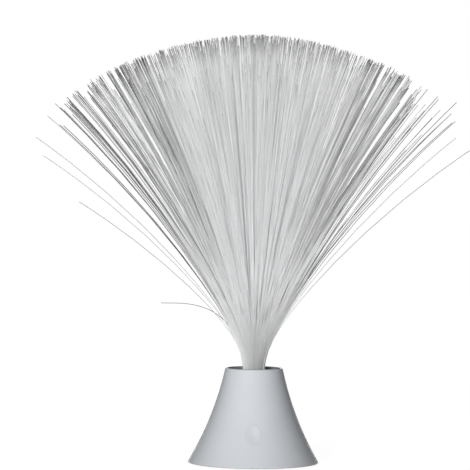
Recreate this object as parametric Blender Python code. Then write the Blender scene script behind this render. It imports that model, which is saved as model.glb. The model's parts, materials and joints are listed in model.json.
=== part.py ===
"""Fibre optic table lamp, modelled the way it is assembled.

A flared shell with a push button stands on a bottom plate that holds the cells. A bundle of
clear fibres hangs in a sleeve in the shell's neck, over a light source, and fans out above it.
The origin is on the table under the middle of the base, +Z is up and the button faces -Y.
Run it with blender --background --python part.py, or from the Text Editor.
"""

import math
import random

import bmesh
import bpy
from mathutils import Matrix, Vector

MM = 0.001

# Gaps, overruns and facets shared by all pieces
GAP = 0.3 * MM
OVERRUN = 1.0 * MM
WELD = 0.001 * MM
FINE_STEPS = 48
ROUND_STEPS = 24
SMALL_STEPS = 12
SMOOTH_BELOW = math.radians(38)
SEEK_STEPS = 8

# Shell
BASE_HEIGHT = 73.5 * MM
BASE_LIFT = 0.8 * MM
BASE_TOP_RADIUS = 22.1 * MM
BASE_BOTTOM_RADIUS = 50.5 * MM
WAIST = 3.1 * MM
SHELL_WALL = 2.0 * MM
RECESS_DEPTH = 8.0 * MM
SOCKET_WALL = 1.8 * MM
OUTER_WALL_STEPS = 6
INNER_WALL_STEPS = 3
LIP_STEPS = 4

# Fibre bundle and its sleeve
BUNDLE_RADIUS = 8.5 * MM
SLEEVE_WALL = 1.0 * MM
SLEEVE_PROUD = 2.0 * MM
COLLAR_WIDTH = 2.6 * MM
COLLAR_HEIGHT = 1.2 * MM
BUNDLE_TOP_DROP = 3.0 * MM

# Fibres, as rings of strands that leave the bundle's end face
FIBRE_LENGTH = 257.5 * MM
LENGTH_SPREAD = 3.0 * MM
STRAND_RINGS = 8
SECTORS = 6
STRAND_WIDTH_SHARE = 0.70
INNER_LEVEL_SHARES = (0.09, 0.31, 1.0)
OUTER_LEVEL_SHARES = (0.09, 0.31, 0.62, 1.0)
OUTER_RINGS = 2
LEAN_AT_RIM = math.radians(6)
LEAN_OF_BEND = math.radians(27)
BEND_LENGTH = 30.0 * MM
LEAN_OF_SAG = math.radians(20)
ROUTE_STEPS = 40
LEAN_SPREAD_SHARE = 0.03
TURN_SPREAD_SHARE = 0.2
FARTHEST_LEAN_SHARE = 1.08
SEED = 11

# Bottom plate and what holds it
PLATE_LIFT = 1.0 * MM
PLATE_THICKNESS = 2.8 * MM
BOSS_RADIUS = 3.6 * MM
BOSS_SPARE = 1.2 * MM
SCREW_ASIDE = 12.8 * MM
REAR_SCREW_INSET = 15.5 * MM

# Screws
SCREW_RADIUS = 1.3 * MM
SCREW_HEAD_RADIUS = 2.5 * MM
SCREW_HEAD_HEIGHT = 1.4 * MM
SCREW_SINK = 0.2 * MM
SCREW_DRIVE_RADIUS = 1.0 * MM
SCREW_DRIVE_DEPTH = 0.8 * MM
PLATE_SCREW_LENGTH = 8.0 * MM
BOARD_SCREW_LENGTH = 6.0 * MM
PILOT_SPARE = 1.0 * MM

# Feet
FOOT_RADIUS = 4.5 * MM
FOOT_INSET = 10.0 * MM
FOOT_POCKET = 0.8 * MM
FOOT_BEVEL = 0.4 * MM
FOOT_ANGLES = tuple(math.radians(45 + 90 * turn) for turn in range(4))

# Cells, contacts and their bay
CELL_COUNT = 3
CELL_DIAMETER = 10.5 * MM
CELL_LENGTH = 44.5 * MM
CELL_NUB_RADIUS = 1.9 * MM
CELL_NUB_LENGTH = 1.0 * MM
CELL_EDGE = 0.5 * MM
BAY_WALL = 1.6 * MM
CONTACT_THICKNESS = 0.4 * MM
CONTACT_SIDE = 8.5 * MM
TAB_WIDTH = 2.6 * MM
TAB_RISE = 3.0 * MM
SPRING_LENGTH = 3.6 * MM
SPRING_WIRE_RADIUS = 0.3 * MM
SPRING_WIDE_RADIUS = 3.4 * MM
SPRING_NARROW_RADIUS = 2.2 * MM
SPRING_TURNS = 3.25
SPRING_POINTS_A_TURN = 8

# Battery door
DOOR_THICKNESS = 1.8 * MM
TONGUE_WIDTH = 6.0 * MM
TONGUE_LENGTH = 2.0 * MM
TONGUE_THICKNESS = 0.8 * MM
HOOK_THICKNESS = 1.2 * MM
TONGUE_PLACE_SHARE = 0.6
FINGER_WIDTH = 12.0 * MM
FINGER_LENGTH = 1.6 * MM
GRIP_DEPTH = 0.7 * MM
GRIP_WIDTH = 1.0 * MM
GRIP_COUNT = 3
GRIP_PITCH = 2.4 * MM

# Light source
BOARD_THICKNESS = 1.2 * MM
BOARD_LENGTH = 36.0 * MM
BOARD_WIDTH = 27.0 * MM
BOARD_CORNER = 2.0 * MM
POST_RADIUS = 2.6 * MM
POST_HEIGHT = 13.0 * MM
HOLDER_HEIGHT = 9.4 * MM
HOLDER_FLOOR = 1.4 * MM
HOLDER_FOOT_RADIUS = 6.5 * MM
LED_RADIUS = 2.5 * MM
LED_FLANGE_WIDTH = 0.4 * MM
LED_FLANGE_HEIGHT = 1.0 * MM
LED_HEIGHT = 8.6 * MM
CHIP_RADIUS = 2.8 * MM
CHIP_HEIGHT = 1.3 * MM
RESISTOR_RADIUS = 1.1 * MM
RESISTOR_LENGTH = 6.0 * MM
RESISTOR_LEAD_RADIUS = 0.35 * MM
RESISTOR_LEAD_LENGTH = 1.6 * MM

# Push button and its switch, measured inwards from the shell's outer face
BUTTON_HEIGHT_UP = 25.0 * MM
BUTTON_HALF_WIDTH = 5.8 * MM
BUTTON_HALF_HEIGHT = 8.0 * MM
BUTTON_DISH = 0.9 * MM
BUTTON_EDGE = 0.3 * MM
BUTTON_FLANGE = 1.8 * MM
FLANGE_THICKNESS = 1.2 * MM
STEM_RADIUS = 2.0 * MM
STEM_LENGTH = 2.6 * MM
BUTTON_TRAVEL = 1.2 * MM
FACE_SHARES = (0.93, 0.72, 0.4)
PLUNGER_RADIUS = 1.5 * MM
PLUNGER_HOLD = 1.2 * MM
SWITCH_SIDE = 6.0 * MM
SWITCH_FLOOR = 0.6 * MM
SWITCH_BOARD_LENGTH = 27.0 * MM
SWITCH_BOARD_WIDTH = 9.0 * MM
SWITCH_BOARD_CORNER = 1.0 * MM
SWITCH_POST_RADIUS = 2.2 * MM
SWITCH_POST_SPREAD = 10.6 * MM
SWITCH_SCREW_RADIUS = 0.9 * MM
SWITCH_SCREW_HEAD_RADIUS = 1.8 * MM
SWITCH_SCREW_LENGTH = 5.0 * MM

# Wires inside the base
WIRE_RADIUS = 0.55 * MM
WIRE_STEPS = 10
WIRE_REACH_SHARE = 0.42

# Heights that follow from the sizes above
PLATE_TOP = PLATE_LIFT + PLATE_THICKNESS
DOOR_TOP = PLATE_LIFT + DOOR_THICKNESS
CELL_MIDDLE = DOOR_TOP + GAP + CELL_DIAMETER / 2
BAY_CEILING = CELL_MIDDLE + CELL_DIAMETER / 2 + GAP
BAY_TOP = BAY_CEILING + BAY_WALL
POST_TOP = BAY_TOP + POST_HEIGHT
BOARD_BOTTOM = POST_TOP + GAP
BOARD_TOP = BOARD_BOTTOM + BOARD_THICKNESS
HOLDER_BOTTOM = BOARD_TOP + GAP
HOLDER_TOP = HOLDER_BOTTOM + HOLDER_HEIGHT
SLEEVE_END = HOLDER_TOP + GAP
SOCKET_END = SLEEVE_END + SLEEVE_PROUD
RECESS_FLOOR = BASE_HEIGHT - RECESS_DEPTH
BUNDLE_TOP = BASE_HEIGHT - BUNDLE_TOP_DROP

# Widths that follow from the sizes above
SLEEVE_RADIUS = BUNDLE_RADIUS + GAP + SLEEVE_WALL
SOCKET_RADIUS = SLEEVE_RADIUS + GAP
CELL_PITCH = CELL_DIAMETER + GAP
BAY_HALF_LENGTH = (CELL_LENGTH + SPRING_LENGTH + 2 * CONTACT_THICKNESS + 5 * GAP) / 2
BAY_HALF_WIDTH = (CELL_COUNT * CELL_PITCH + GAP) / 2
BAY_OUTER_LENGTH = BAY_HALF_LENGTH + BAY_WALL
BAY_OUTER_WIDTH = BAY_HALF_WIDTH + BAY_WALL
DOOR_HALF_LENGTH = BAY_OUTER_LENGTH - GAP
DOOR_HALF_WIDTH = BAY_OUTER_WIDTH - GAP
BOARD_POST_PLACE = BOARD_LENGTH / 2 - POST_RADIUS - GAP
SCREW_ALONG = BAY_OUTER_LENGTH + GAP + BOSS_RADIUS + BOSS_SPARE
SCREW_PLACES = (
    (0, BASE_BOTTOM_RADIUS - REAR_SCREW_INSET),
    (-SCREW_ALONG, -SCREW_ASIDE),
    (SCREW_ALONG, -SCREW_ASIDE),
)
FOOT_CIRCLE = BASE_BOTTOM_RADIUS - FOOT_INSET
PILOT_RADIUS = SCREW_RADIUS + GAP / 2
CLEAR_RADIUS = SCREW_RADIUS + GAP


def clear_scene():
    """Start from nothing."""
    for old in list(bpy.data.objects):
        bpy.data.objects.remove(old, do_unlink=True)


def finish(name, colour, roughness, metallic=0.0):
    """A Principled material in one colour."""
    made = bpy.data.materials.new(name)
    made.use_nodes = True
    shader = made.node_tree.nodes["Principled BSDF"]
    shader.inputs["Base Color"].default_value = (*colour, 1.0)
    shader.inputs["Roughness"].default_value = roughness
    shader.inputs["Metallic"].default_value = metallic
    return made


def place(name, shape, look, parent=None, at=(0, 0, 0), turn=(0, 0, 0)):
    """Put a mesh or a curve in the scene as one named piece."""
    piece = bpy.data.objects.new(name, shape)
    bpy.context.collection.objects.link(piece)
    if not shape.materials:
        shape.materials.append(look)
    piece.parent = parent
    piece.location = at
    piece.rotation_euler = turn
    return piece


def tool(name, shape, parent=None, at=(0, 0, 0), turn=(0, 0, 0)):
    """Put a mesh in the scene as a cutter or an addition, left out of the model itself."""
    made = bpy.data.objects.new(name, shape)
    bpy.context.collection.objects.link(made)
    made.parent = parent
    made.location = at
    made.rotation_euler = turn
    made.hide_render = True
    made.display_type = "WIRE"
    return made


def boolean(piece, other, operation):
    """Give a piece one Boolean step with a tool."""
    step = piece.modifiers.new(other.name, "BOOLEAN")
    step.operation = operation
    step.solver = "EXACT"
    step.object = other


def cut(piece, other):
    boolean(piece, other, "DIFFERENCE")


def join(piece, other):
    boolean(piece, other, "UNION")


def finished(bm, name):
    """Turn a bmesh into a smooth shaded mesh whose faces point out."""
    bmesh.ops.remove_doubles(bm, verts=bm.verts, dist=WELD)
    bmesh.ops.recalc_face_normals(bm, faces=bm.faces)
    shape = bpy.data.meshes.new(name)
    bm.to_mesh(shape)
    bm.free()
    shape.shade_smooth()
    shape.set_sharp_from_angle(angle=SMOOTH_BELOW)
    return shape


def turned(name, outline, steps=ROUND_STEPS):
    """A solid turned about Z from (radius, height) points, a loop or a line that ends on the axis.

    A flat end is one many-sided face, so that no edge runs across it.
    """
    looped = outline[0][0] > 0 or outline[-1][0] > 0
    if not looped and outline[0][1] == outline[1][1]:
        outline = outline[1:]
    if not looped and outline[-1][1] == outline[-2][1]:
        outline = outline[:-1]
    bm = bmesh.new()
    points = [bm.verts.new((radius, 0, height)) for radius, height in outline]
    pairs = list(zip(points, points[1:]))
    if looped:
        pairs.append((points[-1], points[0]))
    edges = [bm.edges.new(pair) for pair in pairs]
    bmesh.ops.spin(
        bm,
        geom=points + edges,
        cent=(0, 0, 0),
        axis=(0, 0, 1),
        angle=math.tau,
        steps=steps,
        use_merge=True,
    )
    bmesh.ops.remove_doubles(bm, verts=bm.verts, dist=WELD)
    bmesh.ops.holes_fill(bm, edges=[e for e in bm.edges if e.is_boundary], sides=0)
    return finished(bm, name)


def lofted(name, rings):
    """A solid through rings of equally many points, with a flat cap at each end."""
    bm = bmesh.new()
    rows = [[bm.verts.new(point) for point in ring] for ring in rings]
    count = len(rows[0])
    for low, high in zip(rows, rows[1:]):
        for k in range(count):
            after = (k + 1) % count
            bm.faces.new((low[k], low[after], high[after], high[k]))
    bm.faces.new(rows[0])
    bm.faces.new(rows[-1])
    return finished(bm, name)


def block(name, low, high):
    """A box between two corners."""
    corners = [(low[0], low[1]), (high[0], low[1]), (high[0], high[1]), (low[0], high[1])]
    return lofted(name, [[(x, y, z) for x, y in corners] for z in (low[2], high[2])])


def rod(name, radius, low, high, steps=SMALL_STEPS):
    """A round bar along Z."""
    return turned(name, [(0, low), (radius, low), (radius, high), (0, high)], steps)


def dome(radius, rise, low):
    """Outline points of a dome, from its widest place up to its tip on the axis."""
    turns = [math.pi / 2 * k / LIP_STEPS for k in range(LIP_STEPS)]
    sides = [(radius * math.cos(a), low + rise * math.sin(a)) for a in turns]
    return [*sides, (0, low + rise)]


def tab_corners(half_length, half_width, corner):
    """Corners of a rectangle whose corners are cut off."""
    points = []
    for sx, sy in ((1, -1), (1, 1), (-1, 1), (-1, -1)):
        along = (sx * half_length, sy * (half_width - corner))
        across = (sx * (half_length - corner), sy * half_width)
        points += [across, along] if sx * sy < 0 else [along, across]
    return points


def board(name, length, width, corner, low, high):
    """A flat board with cut corners, lying in XY."""
    corners = tab_corners(length / 2, width / 2, corner)
    return lofted(name, [[(x, y, z) for x, y in corners] for z in (low, high)])


def screw_shape(name, radius, head_radius, length):
    """A pan head screw along Z, its head's underside at the origin and its thread above it."""
    drive = SCREW_DRIVE_RADIUS * head_radius / SCREW_HEAD_RADIUS
    bevel = SCREW_HEAD_HEIGHT / 3
    outline = [
        (0, SCREW_DRIVE_DEPTH - SCREW_HEAD_HEIGHT),
        (drive, SCREW_DRIVE_DEPTH - SCREW_HEAD_HEIGHT),
        (drive, -SCREW_HEAD_HEIGHT),
        (head_radius - bevel, -SCREW_HEAD_HEIGHT),
        (head_radius, bevel - SCREW_HEAD_HEIGHT),
        (head_radius, 0),
        (radius, 0),
        (radius, length - radius),
        (0, length),
    ]
    return turned(name, outline, SMALL_STEPS)


def wall_arc():
    """Middle and radius of the arc that the shell's outer face follows in the (radius, height) plane."""
    out = BASE_BOTTOM_RADIUS - BASE_TOP_RADIUS
    up = BASE_HEIGHT - BASE_LIFT
    chord = math.hypot(out, up)
    bend = (chord**2 / 4 + WAIST**2) / (2 * WAIST)
    reach = (bend - WAIST) / chord
    middle_radius = (BASE_BOTTOM_RADIUS + BASE_TOP_RADIUS) / 2 + reach * up
    middle_height = (BASE_HEIGHT + BASE_LIFT) / 2 + reach * out
    return middle_radius, middle_height, bend


ARC_RADIUS, ARC_HEIGHT, ARC_BEND = wall_arc()


def wall_radius(height, inset=0.0):
    """Radius of the shell's wall at a height, this far inside its outer face."""
    return ARC_RADIUS - math.sqrt((ARC_BEND + inset) ** 2 - (height - ARC_HEIGHT) ** 2)


def wall_height(radius, inset=0.0):
    """Height at which the shell's wall has a radius, this far inside its outer face."""
    return ARC_HEIGHT - math.sqrt((ARC_BEND + inset) ** 2 - (ARC_RADIUS - radius) ** 2)


SHELL_SLOPE = math.asin((ARC_HEIGHT - BUTTON_HEIGHT_UP) / ARC_BEND)
BUTTON_PLACE = Vector((0, -wall_radius(BUTTON_HEIGHT_UP), BUTTON_HEIGHT_UP))
BUTTON_TURN = (math.pi / 2 - SHELL_SLOPE, 0, 0)
BUTTON_FRAME = Matrix.Translation(BUTTON_PLACE) @ Matrix.Rotation(BUTTON_TURN[0], 4, "X")


def wall_depth(across, up, inset=0.0):
    """How far out along the button's axis the wall lies, at a place across and up from that axis."""
    depth = -inset
    for _ in range(SEEK_STEPS):
        point = BUTTON_FRAME @ Vector((across, up, depth))
        miss = math.hypot(point.x, point.y) - wall_radius(point.z, inset)
        depth -= miss * math.cos(SHELL_SLOPE)
    return depth


def oval(half_width, half_height, steps=ROUND_STEPS):
    """Points of an ellipse about the button's axis."""
    turns = [math.tau * k / steps for k in range(steps)]
    return [(half_width * math.cos(a), half_height * math.sin(a)) for a in turns]


def flange_front():
    """Depth of the button's flange, just clear of the curved wall behind it."""
    rim = oval(BUTTON_HALF_WIDTH + BUTTON_FLANGE, BUTTON_HALF_HEIGHT + BUTTON_FLANGE)
    return min(wall_depth(x, y, SHELL_WALL) for x, y in rim) - GAP


FLANGE_FRONT = flange_front()
FLANGE_BACK = FLANGE_FRONT - FLANGE_THICKNESS
STEM_END = FLANGE_BACK - STEM_LENGTH
PLUNGER_TOP = STEM_END - GAP
SWITCH_TOP = PLUNGER_TOP - BUTTON_TRAVEL - GAP
SWITCH_BOTTOM = SWITCH_TOP - PLUNGER_HOLD - BUTTON_TRAVEL - 2 * GAP - SWITCH_FLOOR
SWITCH_BOARD_TOP = SWITCH_BOTTOM - GAP
SWITCH_BOARD_BOTTOM = SWITCH_BOARD_TOP - BOARD_THICKNESS


def add_wall_bosses(shell):
    """Posts that run down from inside the wall to the bottom plate, each with a pilot hole."""
    for number, (x, y) in enumerate(SCREW_PLACES, 1):
        low, high = [], []
        for across, along in oval(BOSS_RADIUS, BOSS_RADIUS, SMALL_STEPS):
            px, py = x + across, y + along
            low.append((px, py, PLATE_TOP + GAP))
            high.append((px, py, wall_height(math.hypot(px, py), SHELL_WALL / 2)))
        join(shell, tool(f"add_boss_{number}", lofted(f"boss_{number}", [low, high])))
        deep = PLATE_SCREW_LENGTH + PILOT_SPARE
        hole = rod(f"boss_pilot_{number}", PILOT_RADIUS, PLATE_TOP, PLATE_TOP + deep)
        cut(shell, tool(f"cut_boss_{number}", hole, at=(x, y, 0)))


def add_switch_posts(shell, frame):
    """Two posts behind the wall, along the button's axis, that carry the switch board."""
    for number, side in enumerate((-1, 1), 1):
        x = side * SWITCH_POST_SPREAD
        ring = oval(SWITCH_POST_RADIUS, SWITCH_POST_RADIUS, SMALL_STEPS)
        low = [(x + px, py, SWITCH_BOARD_TOP + GAP) for px, py in ring]
        high = [(x + px, py, wall_depth(x + px, py, SHELL_WALL / 2)) for px, py in ring]
        post = lofted(f"switch_post_{number}", [low, high])
        join(shell, tool(f"add_switch_post_{number}", post, frame))
        deep = SWITCH_BOARD_TOP + SWITCH_SCREW_LENGTH - BOARD_THICKNESS
        pilot = SWITCH_SCREW_RADIUS + GAP / 2
        hole = rod(f"switch_pilot_{number}", pilot, SWITCH_BOARD_TOP - OVERRUN, deep)
        cut(shell, tool(f"cut_switch_post_{number}", hole, frame, (x, 0, 0)))


def make_shell(looks, frame):
    """The flared base shell, open below, with a recess and a socket for the bundle on top."""
    lip = SHELL_WALL / 2
    rise = BASE_HEIGHT - lip - BASE_LIFT
    heights = [BASE_LIFT + rise * k / OUTER_WALL_STEPS for k in range(OUTER_WALL_STEPS + 1)]
    outline = [(wall_radius(z), z) for z in heights]
    lip_middle = wall_radius(BASE_HEIGHT - lip, SHELL_WALL / 2)
    for k in range(1, LIP_STEPS):
        angle = math.pi * k / LIP_STEPS
        outline.append((lip_middle + lip * math.cos(angle), BASE_HEIGHT - lip + lip * math.sin(angle)))
    outline.append((wall_radius(BASE_HEIGHT - lip, SHELL_WALL), BASE_HEIGHT - lip))
    outline.append((wall_radius(RECESS_FLOOR, SHELL_WALL), RECESS_FLOOR))
    outline.append((SOCKET_RADIUS, RECESS_FLOOR))
    outline.append((SOCKET_RADIUS, SOCKET_END))
    outline.append((SOCKET_RADIUS + SOCKET_WALL, SOCKET_END))
    underside = RECESS_FLOOR - SHELL_WALL
    outline.append((SOCKET_RADIUS + SOCKET_WALL, underside))
    fall = underside - BASE_LIFT
    for k in range(INNER_WALL_STEPS + 1):
        height = underside - fall * k / INNER_WALL_STEPS
        outline.append((wall_radius(height, SHELL_WALL), height))
    shell = place("base_shell", turned("base_shell", outline, FINE_STEPS), looks["shell"])
    add_wall_bosses(shell)
    add_switch_posts(shell, frame)
    opening = oval(BUTTON_HALF_WIDTH + GAP, BUTTON_HALF_HEIGHT + GAP)
    inner = min(wall_depth(x, y, SHELL_WALL) for x, y in opening) - OVERRUN
    rings = [[(x, y, z) for x, y in opening] for z in (inner, OVERRUN)]
    cut(shell, tool("cut_button_hole", lofted("button_hole", rings), frame))


def make_sleeve(looks):
    """The tube that grips the bundle, hung in the shell's socket by its collar."""
    inner = BUNDLE_RADIUS + GAP
    seat = RECESS_FLOOR + GAP
    outline = [
        (inner, SLEEVE_END),
        (SLEEVE_RADIUS, SLEEVE_END),
        (SLEEVE_RADIUS, seat),
        (SLEEVE_RADIUS + COLLAR_WIDTH, seat),
        (SLEEVE_RADIUS + COLLAR_WIDTH, seat + COLLAR_HEIGHT),
        (inner, seat + COLLAR_HEIGHT),
    ]
    place("bundle_sleeve", turned("bundle_sleeve", outline), looks["sleeve"])


def strand_lean(along, share):
    """Lean from upright at a length along a strand, for its share of the bundle's radius."""
    bend = 1 - math.exp(-along / BEND_LENGTH)
    return share * (LEAN_AT_RIM + LEAN_OF_BEND * bend + LEAN_OF_SAG * along / FIBRE_LENGTH)


def strand_route(share, length, levels):
    """How far out, how far up and how leant a strand is, at each of the levels."""
    stops = [level * length for level in levels]
    out = up = along = 0.0
    places = []
    for stop in stops:
        step = (stop - along) / ROUTE_STEPS
        for k in range(ROUTE_STEPS):
            lean = strand_lean(along + (k + 0.5) * step, share)
            out += step * math.sin(lean)
            up += step * math.cos(lean)
        along = stop
        places.append((out, up, strand_lean(along, share)))
    return places


def ring_points():
    """Corners of the strands on a disc of radius 1, ring by ring from its middle."""
    rows = [[Vector((0, 0, 0))]]
    for ring in range(1, STRAND_RINGS + 1):
        count = SECTORS * ring
        turns = [math.tau * k / count for k in range(count)]
        rows.append([Vector((math.cos(a), math.sin(a), 0)) * ring / STRAND_RINGS for a in turns])
    return rows


def ring_cells(ring):
    """Triangles between a ring and the one inside it, each as three (ring, place) corners."""
    outer, inner = SECTORS * ring, max(SECTORS * (ring - 1), 1)
    cells = []
    for sector in range(SECTORS):
        for k in range(ring):
            first = sector * ring + k
            after = (ring, (first + 1) % outer)
            low = (ring - 1, (sector * (ring - 1) + k) % inner)
            cells.append(((ring, first), after, low))
            if k < ring - 1:
                cells.append((after, (ring - 1, (low[1] + 1) % inner), low))
    return cells


def strand_ends(rng, ring, number):
    """Lean share, direction and length of one strand.

    The strands of a ring share the full turn evenly. In the outer ring, the four that reach
    farthest stand a quarter turn apart, so that the middle of the fan stays over the base.
    """
    count = SECTORS * (2 * ring - 1)
    spread = 1 + rng.uniform(-LEAN_SPREAD_SHARE, LEAN_SPREAD_SHARE)
    aside = rng.uniform(-TURN_SPREAD_SHARE, TURN_SPREAD_SHARE)
    length = FIBRE_LENGTH + rng.uniform(-LENGTH_SPREAD, LENGTH_SPREAD)
    farthest = [count * quarter // 4 for quarter in range(4)]
    if ring == STRAND_RINGS and number in farthest:
        return FARTHEST_LEAN_SHARE, math.tau * farthest.index(number) / 4, FIBRE_LENGTH
    return spread, math.tau * (number + 0.5 + aside) / count, length


def add_strand(bm, corners, base, route, outward):
    """Skin one strand along its route, from the corners of its cell on the bundle's end face."""
    middle = sum(corners, Vector()) / len(corners)
    below = base
    for out, up, lean in route:
        tilt = Matrix.Rotation(lean, 3, Vector((-outward.y, outward.x, 0)))
        centre = middle * BUNDLE_RADIUS + outward * out + Vector((0, 0, BUNDLE_TOP + up))
        offsets = [(corner - middle) * BUNDLE_RADIUS * STRAND_WIDTH_SHARE for corner in corners]
        level = [bm.verts.new(centre + tilt @ offset) for offset in offsets]
        for k in range(len(level)):
            after = (k + 1) % len(level)
            bm.faces.new((below[k], below[after], level[after], level[k]))
        below = level
    bm.faces.new(below)


def make_fibres(looks):
    """The bundle's core, cut flat below, and the strands that stand on its end face."""
    rng = random.Random(SEED)
    bm = bmesh.new()
    rows = ring_points()
    top = Vector((0, 0, BUNDLE_TOP))
    face = [[bm.verts.new(point * BUNDLE_RADIUS + top) for point in row] for row in rows]
    for ring in range(1, STRAND_RINGS + 1):
        levels = OUTER_LEVEL_SHARES if ring > STRAND_RINGS - OUTER_RINGS else INNER_LEVEL_SHARES
        for number, cell in enumerate(ring_cells(ring)):
            corners = [rows[row][spot] for row, spot in cell]
            base = [face[row][spot] for row, spot in cell]
            reach = (sum(corners, Vector()) / len(corners)).length
            spread, turn, length = strand_ends(rng, ring, number)
            outward = Vector((math.cos(turn), math.sin(turn), 0))
            add_strand(bm, corners, base, strand_route(reach * spread, length, levels), outward)
    rim = face[STRAND_RINGS]
    bottom = [bm.verts.new((vert.co.x, vert.co.y, SLEEVE_END)) for vert in rim]
    for k in range(len(rim)):
        after = (k + 1) % len(rim)
        bm.faces.new((rim[k], rim[after], bottom[after], bottom[k]))
    bm.faces.new(bottom)
    place("fibre_spray", finished(bm, "fibre_spray"), looks["fibre"])


def make_bottom_plate(looks):
    """The bottom plate, with the battery bay, board posts, screw seats and foot pockets."""
    outline = [
        (0, PLATE_LIFT),
        (wall_radius(PLATE_LIFT, SHELL_WALL) - GAP, PLATE_LIFT),
        (wall_radius(PLATE_TOP, SHELL_WALL) - GAP, PLATE_TOP),
        (0, PLATE_TOP),
    ]
    plate = place("bottom_plate", turned("bottom_plate", outline, FINE_STEPS), looks["inner"])
    bay = block(
        "bay_walls",
        (-BAY_OUTER_LENGTH, -BAY_OUTER_WIDTH, (PLATE_LIFT + PLATE_TOP) / 2),
        (BAY_OUTER_LENGTH, BAY_OUTER_WIDTH, BAY_TOP),
    )
    join(plate, tool("add_bay", bay))
    for number, side in enumerate((-1, 1), 1):
        post = rod(f"board_post_{number}", POST_RADIUS, BAY_TOP - BAY_WALL / 2, POST_TOP)
        join(plate, tool(f"add_board_post_{number}", post, at=(side * BOARD_POST_PLACE, 0, 0)))
        deep = BOARD_BOTTOM + BOARD_THICKNESS - BOARD_SCREW_LENGTH - PILOT_SPARE
        pilot = rod(f"board_pilot_{number}", PILOT_RADIUS, deep, BOARD_BOTTOM)
        cut(plate, tool(f"cut_board_post_{number}", pilot, at=(side * BOARD_POST_PLACE, 0, 0)))
    cut_door_opening(plate)
    cut_tongue_slots(plate)
    cut_tab_slots(plate)
    cut_screw_seats(plate)
    cut_foot_pockets(plate)


def cut_door_opening(plate):
    """The door's seat in the plate, its finger notch, and the bay's room above them."""
    seat = block(
        "door_seat",
        (-BAY_OUTER_LENGTH, -BAY_OUTER_WIDTH, PLATE_LIFT - OVERRUN),
        (BAY_OUTER_LENGTH, BAY_OUTER_WIDTH, DOOR_TOP + GAP),
    )
    cut(plate, tool("cut_door_seat", seat))
    room = block(
        "bay_room",
        (-BAY_HALF_LENGTH, -BAY_HALF_WIDTH, PLATE_LIFT),
        (BAY_HALF_LENGTH, BAY_HALF_WIDTH, BAY_CEILING),
    )
    cut(plate, tool("cut_bay_room", room))
    notch = block(
        "finger_notch",
        (DOOR_HALF_LENGTH, -FINGER_WIDTH / 2 - GAP, PLATE_LIFT - OVERRUN),
        (DOOR_HALF_LENGTH + FINGER_LENGTH + GAP, FINGER_WIDTH / 2 + GAP, DOOR_TOP + GAP),
    )
    cut(plate, tool("cut_finger_notch", notch))


def cut_tongue_slots(plate):
    """Slots over the plate's hooks, high enough for the tongues to swing in."""
    swing = math.hypot(TONGUE_LENGTH, HOOK_THICKNESS + GAP + TONGUE_THICKNESS)
    for number, side in enumerate((-1, 1), 1):
        middle = side * TONGUE_PLACE_SHARE * DOOR_HALF_WIDTH
        slot = block(
            f"tongue_slot_{number}",
            (
                -DOOR_HALF_LENGTH - TONGUE_LENGTH - GAP,
                middle - TONGUE_WIDTH / 2 - GAP,
                PLATE_LIFT + HOOK_THICKNESS,
            ),
            (GAP - BAY_HALF_LENGTH, middle + TONGUE_WIDTH / 2 + GAP, PLATE_LIFT + swing + GAP),
        )
        cut(plate, tool(f"cut_tongue_slot_{number}", slot))


def cell_row(number):
    """Where a cell lies across the bay."""
    return (number - (CELL_COUNT - 1) / 2) * CELL_PITCH


def contact_front(end):
    """The face of an end wall's contact that looks at the cells, with its end as -1 or 1."""
    return end * (BAY_HALF_LENGTH - GAP - CONTACT_THICKNESS)


def cut_tab_slots(plate):
    """Slots in the bay's roof for the two contacts that have a solder tab."""
    for name, end, number in (("negative", -1, 0), ("positive", 1, CELL_COUNT - 1)):
        near, far = sorted((contact_front(end) - end * GAP, end * BAY_HALF_LENGTH))
        middle = cell_row(number)
        slot = block(
            f"{name}_tab_slot",
            (near, middle - TAB_WIDTH / 2 - GAP, BAY_CEILING - OVERRUN),
            (far, middle + TAB_WIDTH / 2 + GAP, BAY_TOP + OVERRUN),
        )
        cut(plate, tool(f"cut_{name}_tab_slot", slot))


def cut_screw_seats(plate):
    """A through hole and a sunk seat for each plate screw."""
    deep = SCREW_HEAD_HEIGHT + SCREW_SINK + GAP
    for number, (x, y) in enumerate(SCREW_PLACES, 1):
        outline = [
            (0, PLATE_LIFT - OVERRUN),
            (SCREW_HEAD_RADIUS + GAP, PLATE_LIFT - OVERRUN),
            (SCREW_HEAD_RADIUS + GAP, PLATE_LIFT + deep),
            (CLEAR_RADIUS, PLATE_LIFT + deep),
            (CLEAR_RADIUS, PLATE_TOP + OVERRUN),
            (0, PLATE_TOP + OVERRUN),
        ]
        shape = turned(f"screw_seat_{number}", outline, SMALL_STEPS)
        cut(plate, tool(f"cut_screw_seat_{number}", shape, at=(x, y, 0)))


def cut_foot_pockets(plate):
    """A shallow round pocket for each foot."""
    for number, angle in enumerate(FOOT_ANGLES, 1):
        at = (FOOT_CIRCLE * math.cos(angle), FOOT_CIRCLE * math.sin(angle), 0)
        pocket = rod(
            f"foot_pocket_{number}",
            FOOT_RADIUS + GAP,
            PLATE_LIFT - OVERRUN,
            PLATE_LIFT + FOOT_POCKET,
            ROUND_STEPS,
        )
        cut(plate, tool(f"cut_foot_pocket_{number}", pocket, at=at))


def make_feet(looks):
    """Rubber feet that stand out of their pockets down to the table."""
    top = PLATE_LIFT + FOOT_POCKET - GAP
    outline = [
        (0, 0),
        (FOOT_RADIUS - FOOT_BEVEL, 0),
        (FOOT_RADIUS, FOOT_BEVEL),
        (FOOT_RADIUS, top),
        (0, top),
    ]
    shape = turned("foot", outline, ROUND_STEPS)
    for number, angle in enumerate(FOOT_ANGLES, 1):
        at = (FOOT_CIRCLE * math.cos(angle), FOOT_CIRCLE * math.sin(angle), 0)
        place(f"foot_{number}", shape, looks["rubber"], at=at)


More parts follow.
